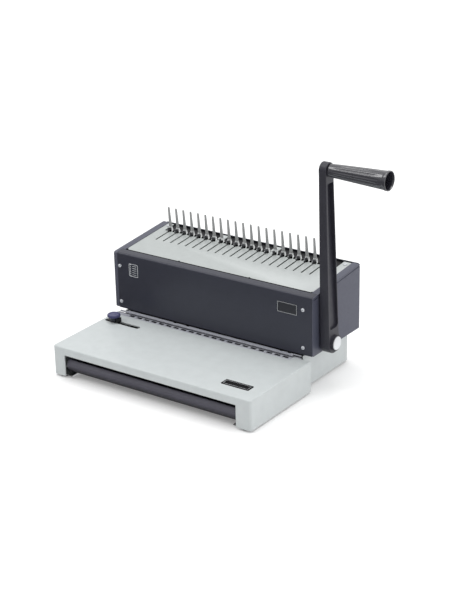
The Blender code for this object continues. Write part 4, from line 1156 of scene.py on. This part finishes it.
def studio():
    """A pale surround, brighter behind the machine than in front of it, that is seen as plain white."""
    world = bpy.data.worlds.new("studio")
    bpy.context.scene.world = world
    world.use_nodes = True
    nodes = world.node_tree.nodes
    links = world.node_tree.links
    background = nodes["Background"]
    place = nodes.new("ShaderNodeTexCoord")
    parts = nodes.new("ShaderNodeSeparateXYZ")
    links.new(place.outputs["Generated"], parts.inputs["Vector"])
    toward = nodes.new("ShaderNodeVectorMath")
    toward.operation = "DOT_PRODUCT"
    toward.inputs[1].default_value = BEHIND
    links.new(place.outputs["Generated"], toward.inputs[0])
    facing = toward.outputs["Value"]
    low = eased(world.node_tree, facing, -0.5, 0.7, LOW_FRONT, LOW_BACK)
    rise = eased(world.node_tree, parts.outputs["Z"], -0.05, 0.25)
    sky = eased(world.node_tree, facing, -0.7, 0.5, SKY_FRONT, SKY_BACK)
    blend = nodes.new("ShaderNodeMix")
    links.new(low, blend.inputs["A"])
    links.new(sky, blend.inputs["B"])
    links.new(rise, blend.inputs["Factor"])
    path = nodes.new("ShaderNodeLightPath")
    shown = nodes.new("ShaderNodeMix")
    shown.inputs["B"].default_value = 1.0
    links.new(path.outputs["Is Camera Ray"], shown.inputs["Factor"])
    links.new(blend.outputs["Result"], shown.inputs["A"])
    links.new(shown.outputs["Result"], background.inputs["Strength"])
    background.inputs["Color"].default_value = (1.0, 1.0, 1.0, 1.0)
    sun("overhead", (-0.10, 0.10, 1.0), OVERHEAD, 45)
    sun("key", (-0.58, -0.37, 0.76), KEY, 22)
    bpy.context.scene.view_settings.view_transform = "Standard"


def floor():
    """A plain pale floor that glows faintly and isn't seen in reflections."""
    mesh = bmesh.new()
    bmesh.ops.create_grid(mesh, x_segments=1, y_segments=1, size=14.0)
    plane = made("floor", mesh, Matrix.Identity(4))
    look, shader = new_look("floor_sweep", (0.88, 0.88, 0.88), 0.9)
    shader.inputs["Specular IOR Level"].default_value = 0.0
    shader.inputs["Emission Color"].default_value = (1.0, 1.0, 1.0, 1.0)
    shader.inputs["Emission Strength"].default_value = FLOOR_GLOW
    plane.data.materials.append(look)
    plane.visible_glossy = False


# Assembly -------------------------------------------------------------------------------------------


def softened_nodes(looks):
    """CAD nodes whose shape is right and that only need rounded edges: look, body, slot and bevel width."""
    rows = {
        "base_rear": ("table", "machine", "table_paint", 0.0005),
        "base_plate": ("steel", "machine", "plated_steel", 0.0003),
        # The side covers take the lighter copy of the casing paint, which carries painted light.
        "left_cover": ("side", "machine", "casing_paint", 0.0004),
        "right_cover": ("side", "machine", "casing_paint", 0.0004),
        "rear_cover": ("rear", "machine", "casing_paint", 0.0003),
        "die_plate": ("strip", "machine", "strip_steel", 0.0002),
        "stripper_plate": ("strip", "machine", "strip_steel", 0.0002),
        "frame_left": ("steel", "machine", "plated_steel", 0.0003),
        "frame_right": ("steel", "machine", "plated_steel", 0.0003),
        "edge_guide": ("black", "guide", "black_plastic", 0.0004),
        "edge_guide_nut": ("steel", "guide", "plated_steel", 0.0003),
        "comb_rake": ("dark_steel", "rake", "dark_steel", 0.0002),
        "rake_leg_left": ("dark_steel", "rake", "dark_steel", 0.0002),
        "rake_leg_right": ("dark_steel", "rake", "dark_steel", 0.0002),
        "punch_comb": ("steel", "punch", "plated_steel", 0.0002),
        "handle_nut": ("steel", "lever", "plated_steel", 0.0003),
        "handle_washer": ("black", "lever", "black_plastic", 0.0003),
    }
    for node, (look, body, slot, width) in rows.items():
        softened(node, node + "_finished", looks[look], body, slot, width)


def carried_nodes(looks):
    """Inner CAD nodes that stay as they are, with a better material."""
    rows = {
        "edge_guide_stud": "steel",
        "paper_stop": "steel",
        "throat_spacer_left": "steel",
        "throat_spacer_right": "steel",
        "punch_rack_left": "steel",
        "punch_rack_right": "steel",
        "bush_left": "brass",
        "bush_right": "brass",
        "drive_shaft": "steel",
        "shaft_clip": "dark_steel",
        "punch_pinion_left": "steel",
        "punch_pinion_right": "steel",
        "rake_sector_left": "steel",
        "rake_sector_right": "steel",
        "grip_spindle": "steel",
    }
    for node, look in rows.items():
        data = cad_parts[node].data
        data.materials.clear()
        data.materials.append(looks[look])


def main():
    """Sets up the studio, then builds the machine piece by piece."""
    camera()
    studio()
    floor()
    looks = all_looks()
    table_shell(looks["table"])
    badge(looks)
    tray(looks["tray"])
    guide_knob(looks["knob"])
    foot_pads(looks["rubber"])
    comb_sheet(looks["plate"])
    cover_screws(looks["screw"])
    plate_screws(looks["screw"])
    front_panel(looks["casing"])
    front_marks(looks)
    lever_arm(looks["handle"])
    lever_grip(looks["grip"])
    lever_cap(looks["cap"])
    softened_nodes(looks)
    carried_nodes(looks)


main()
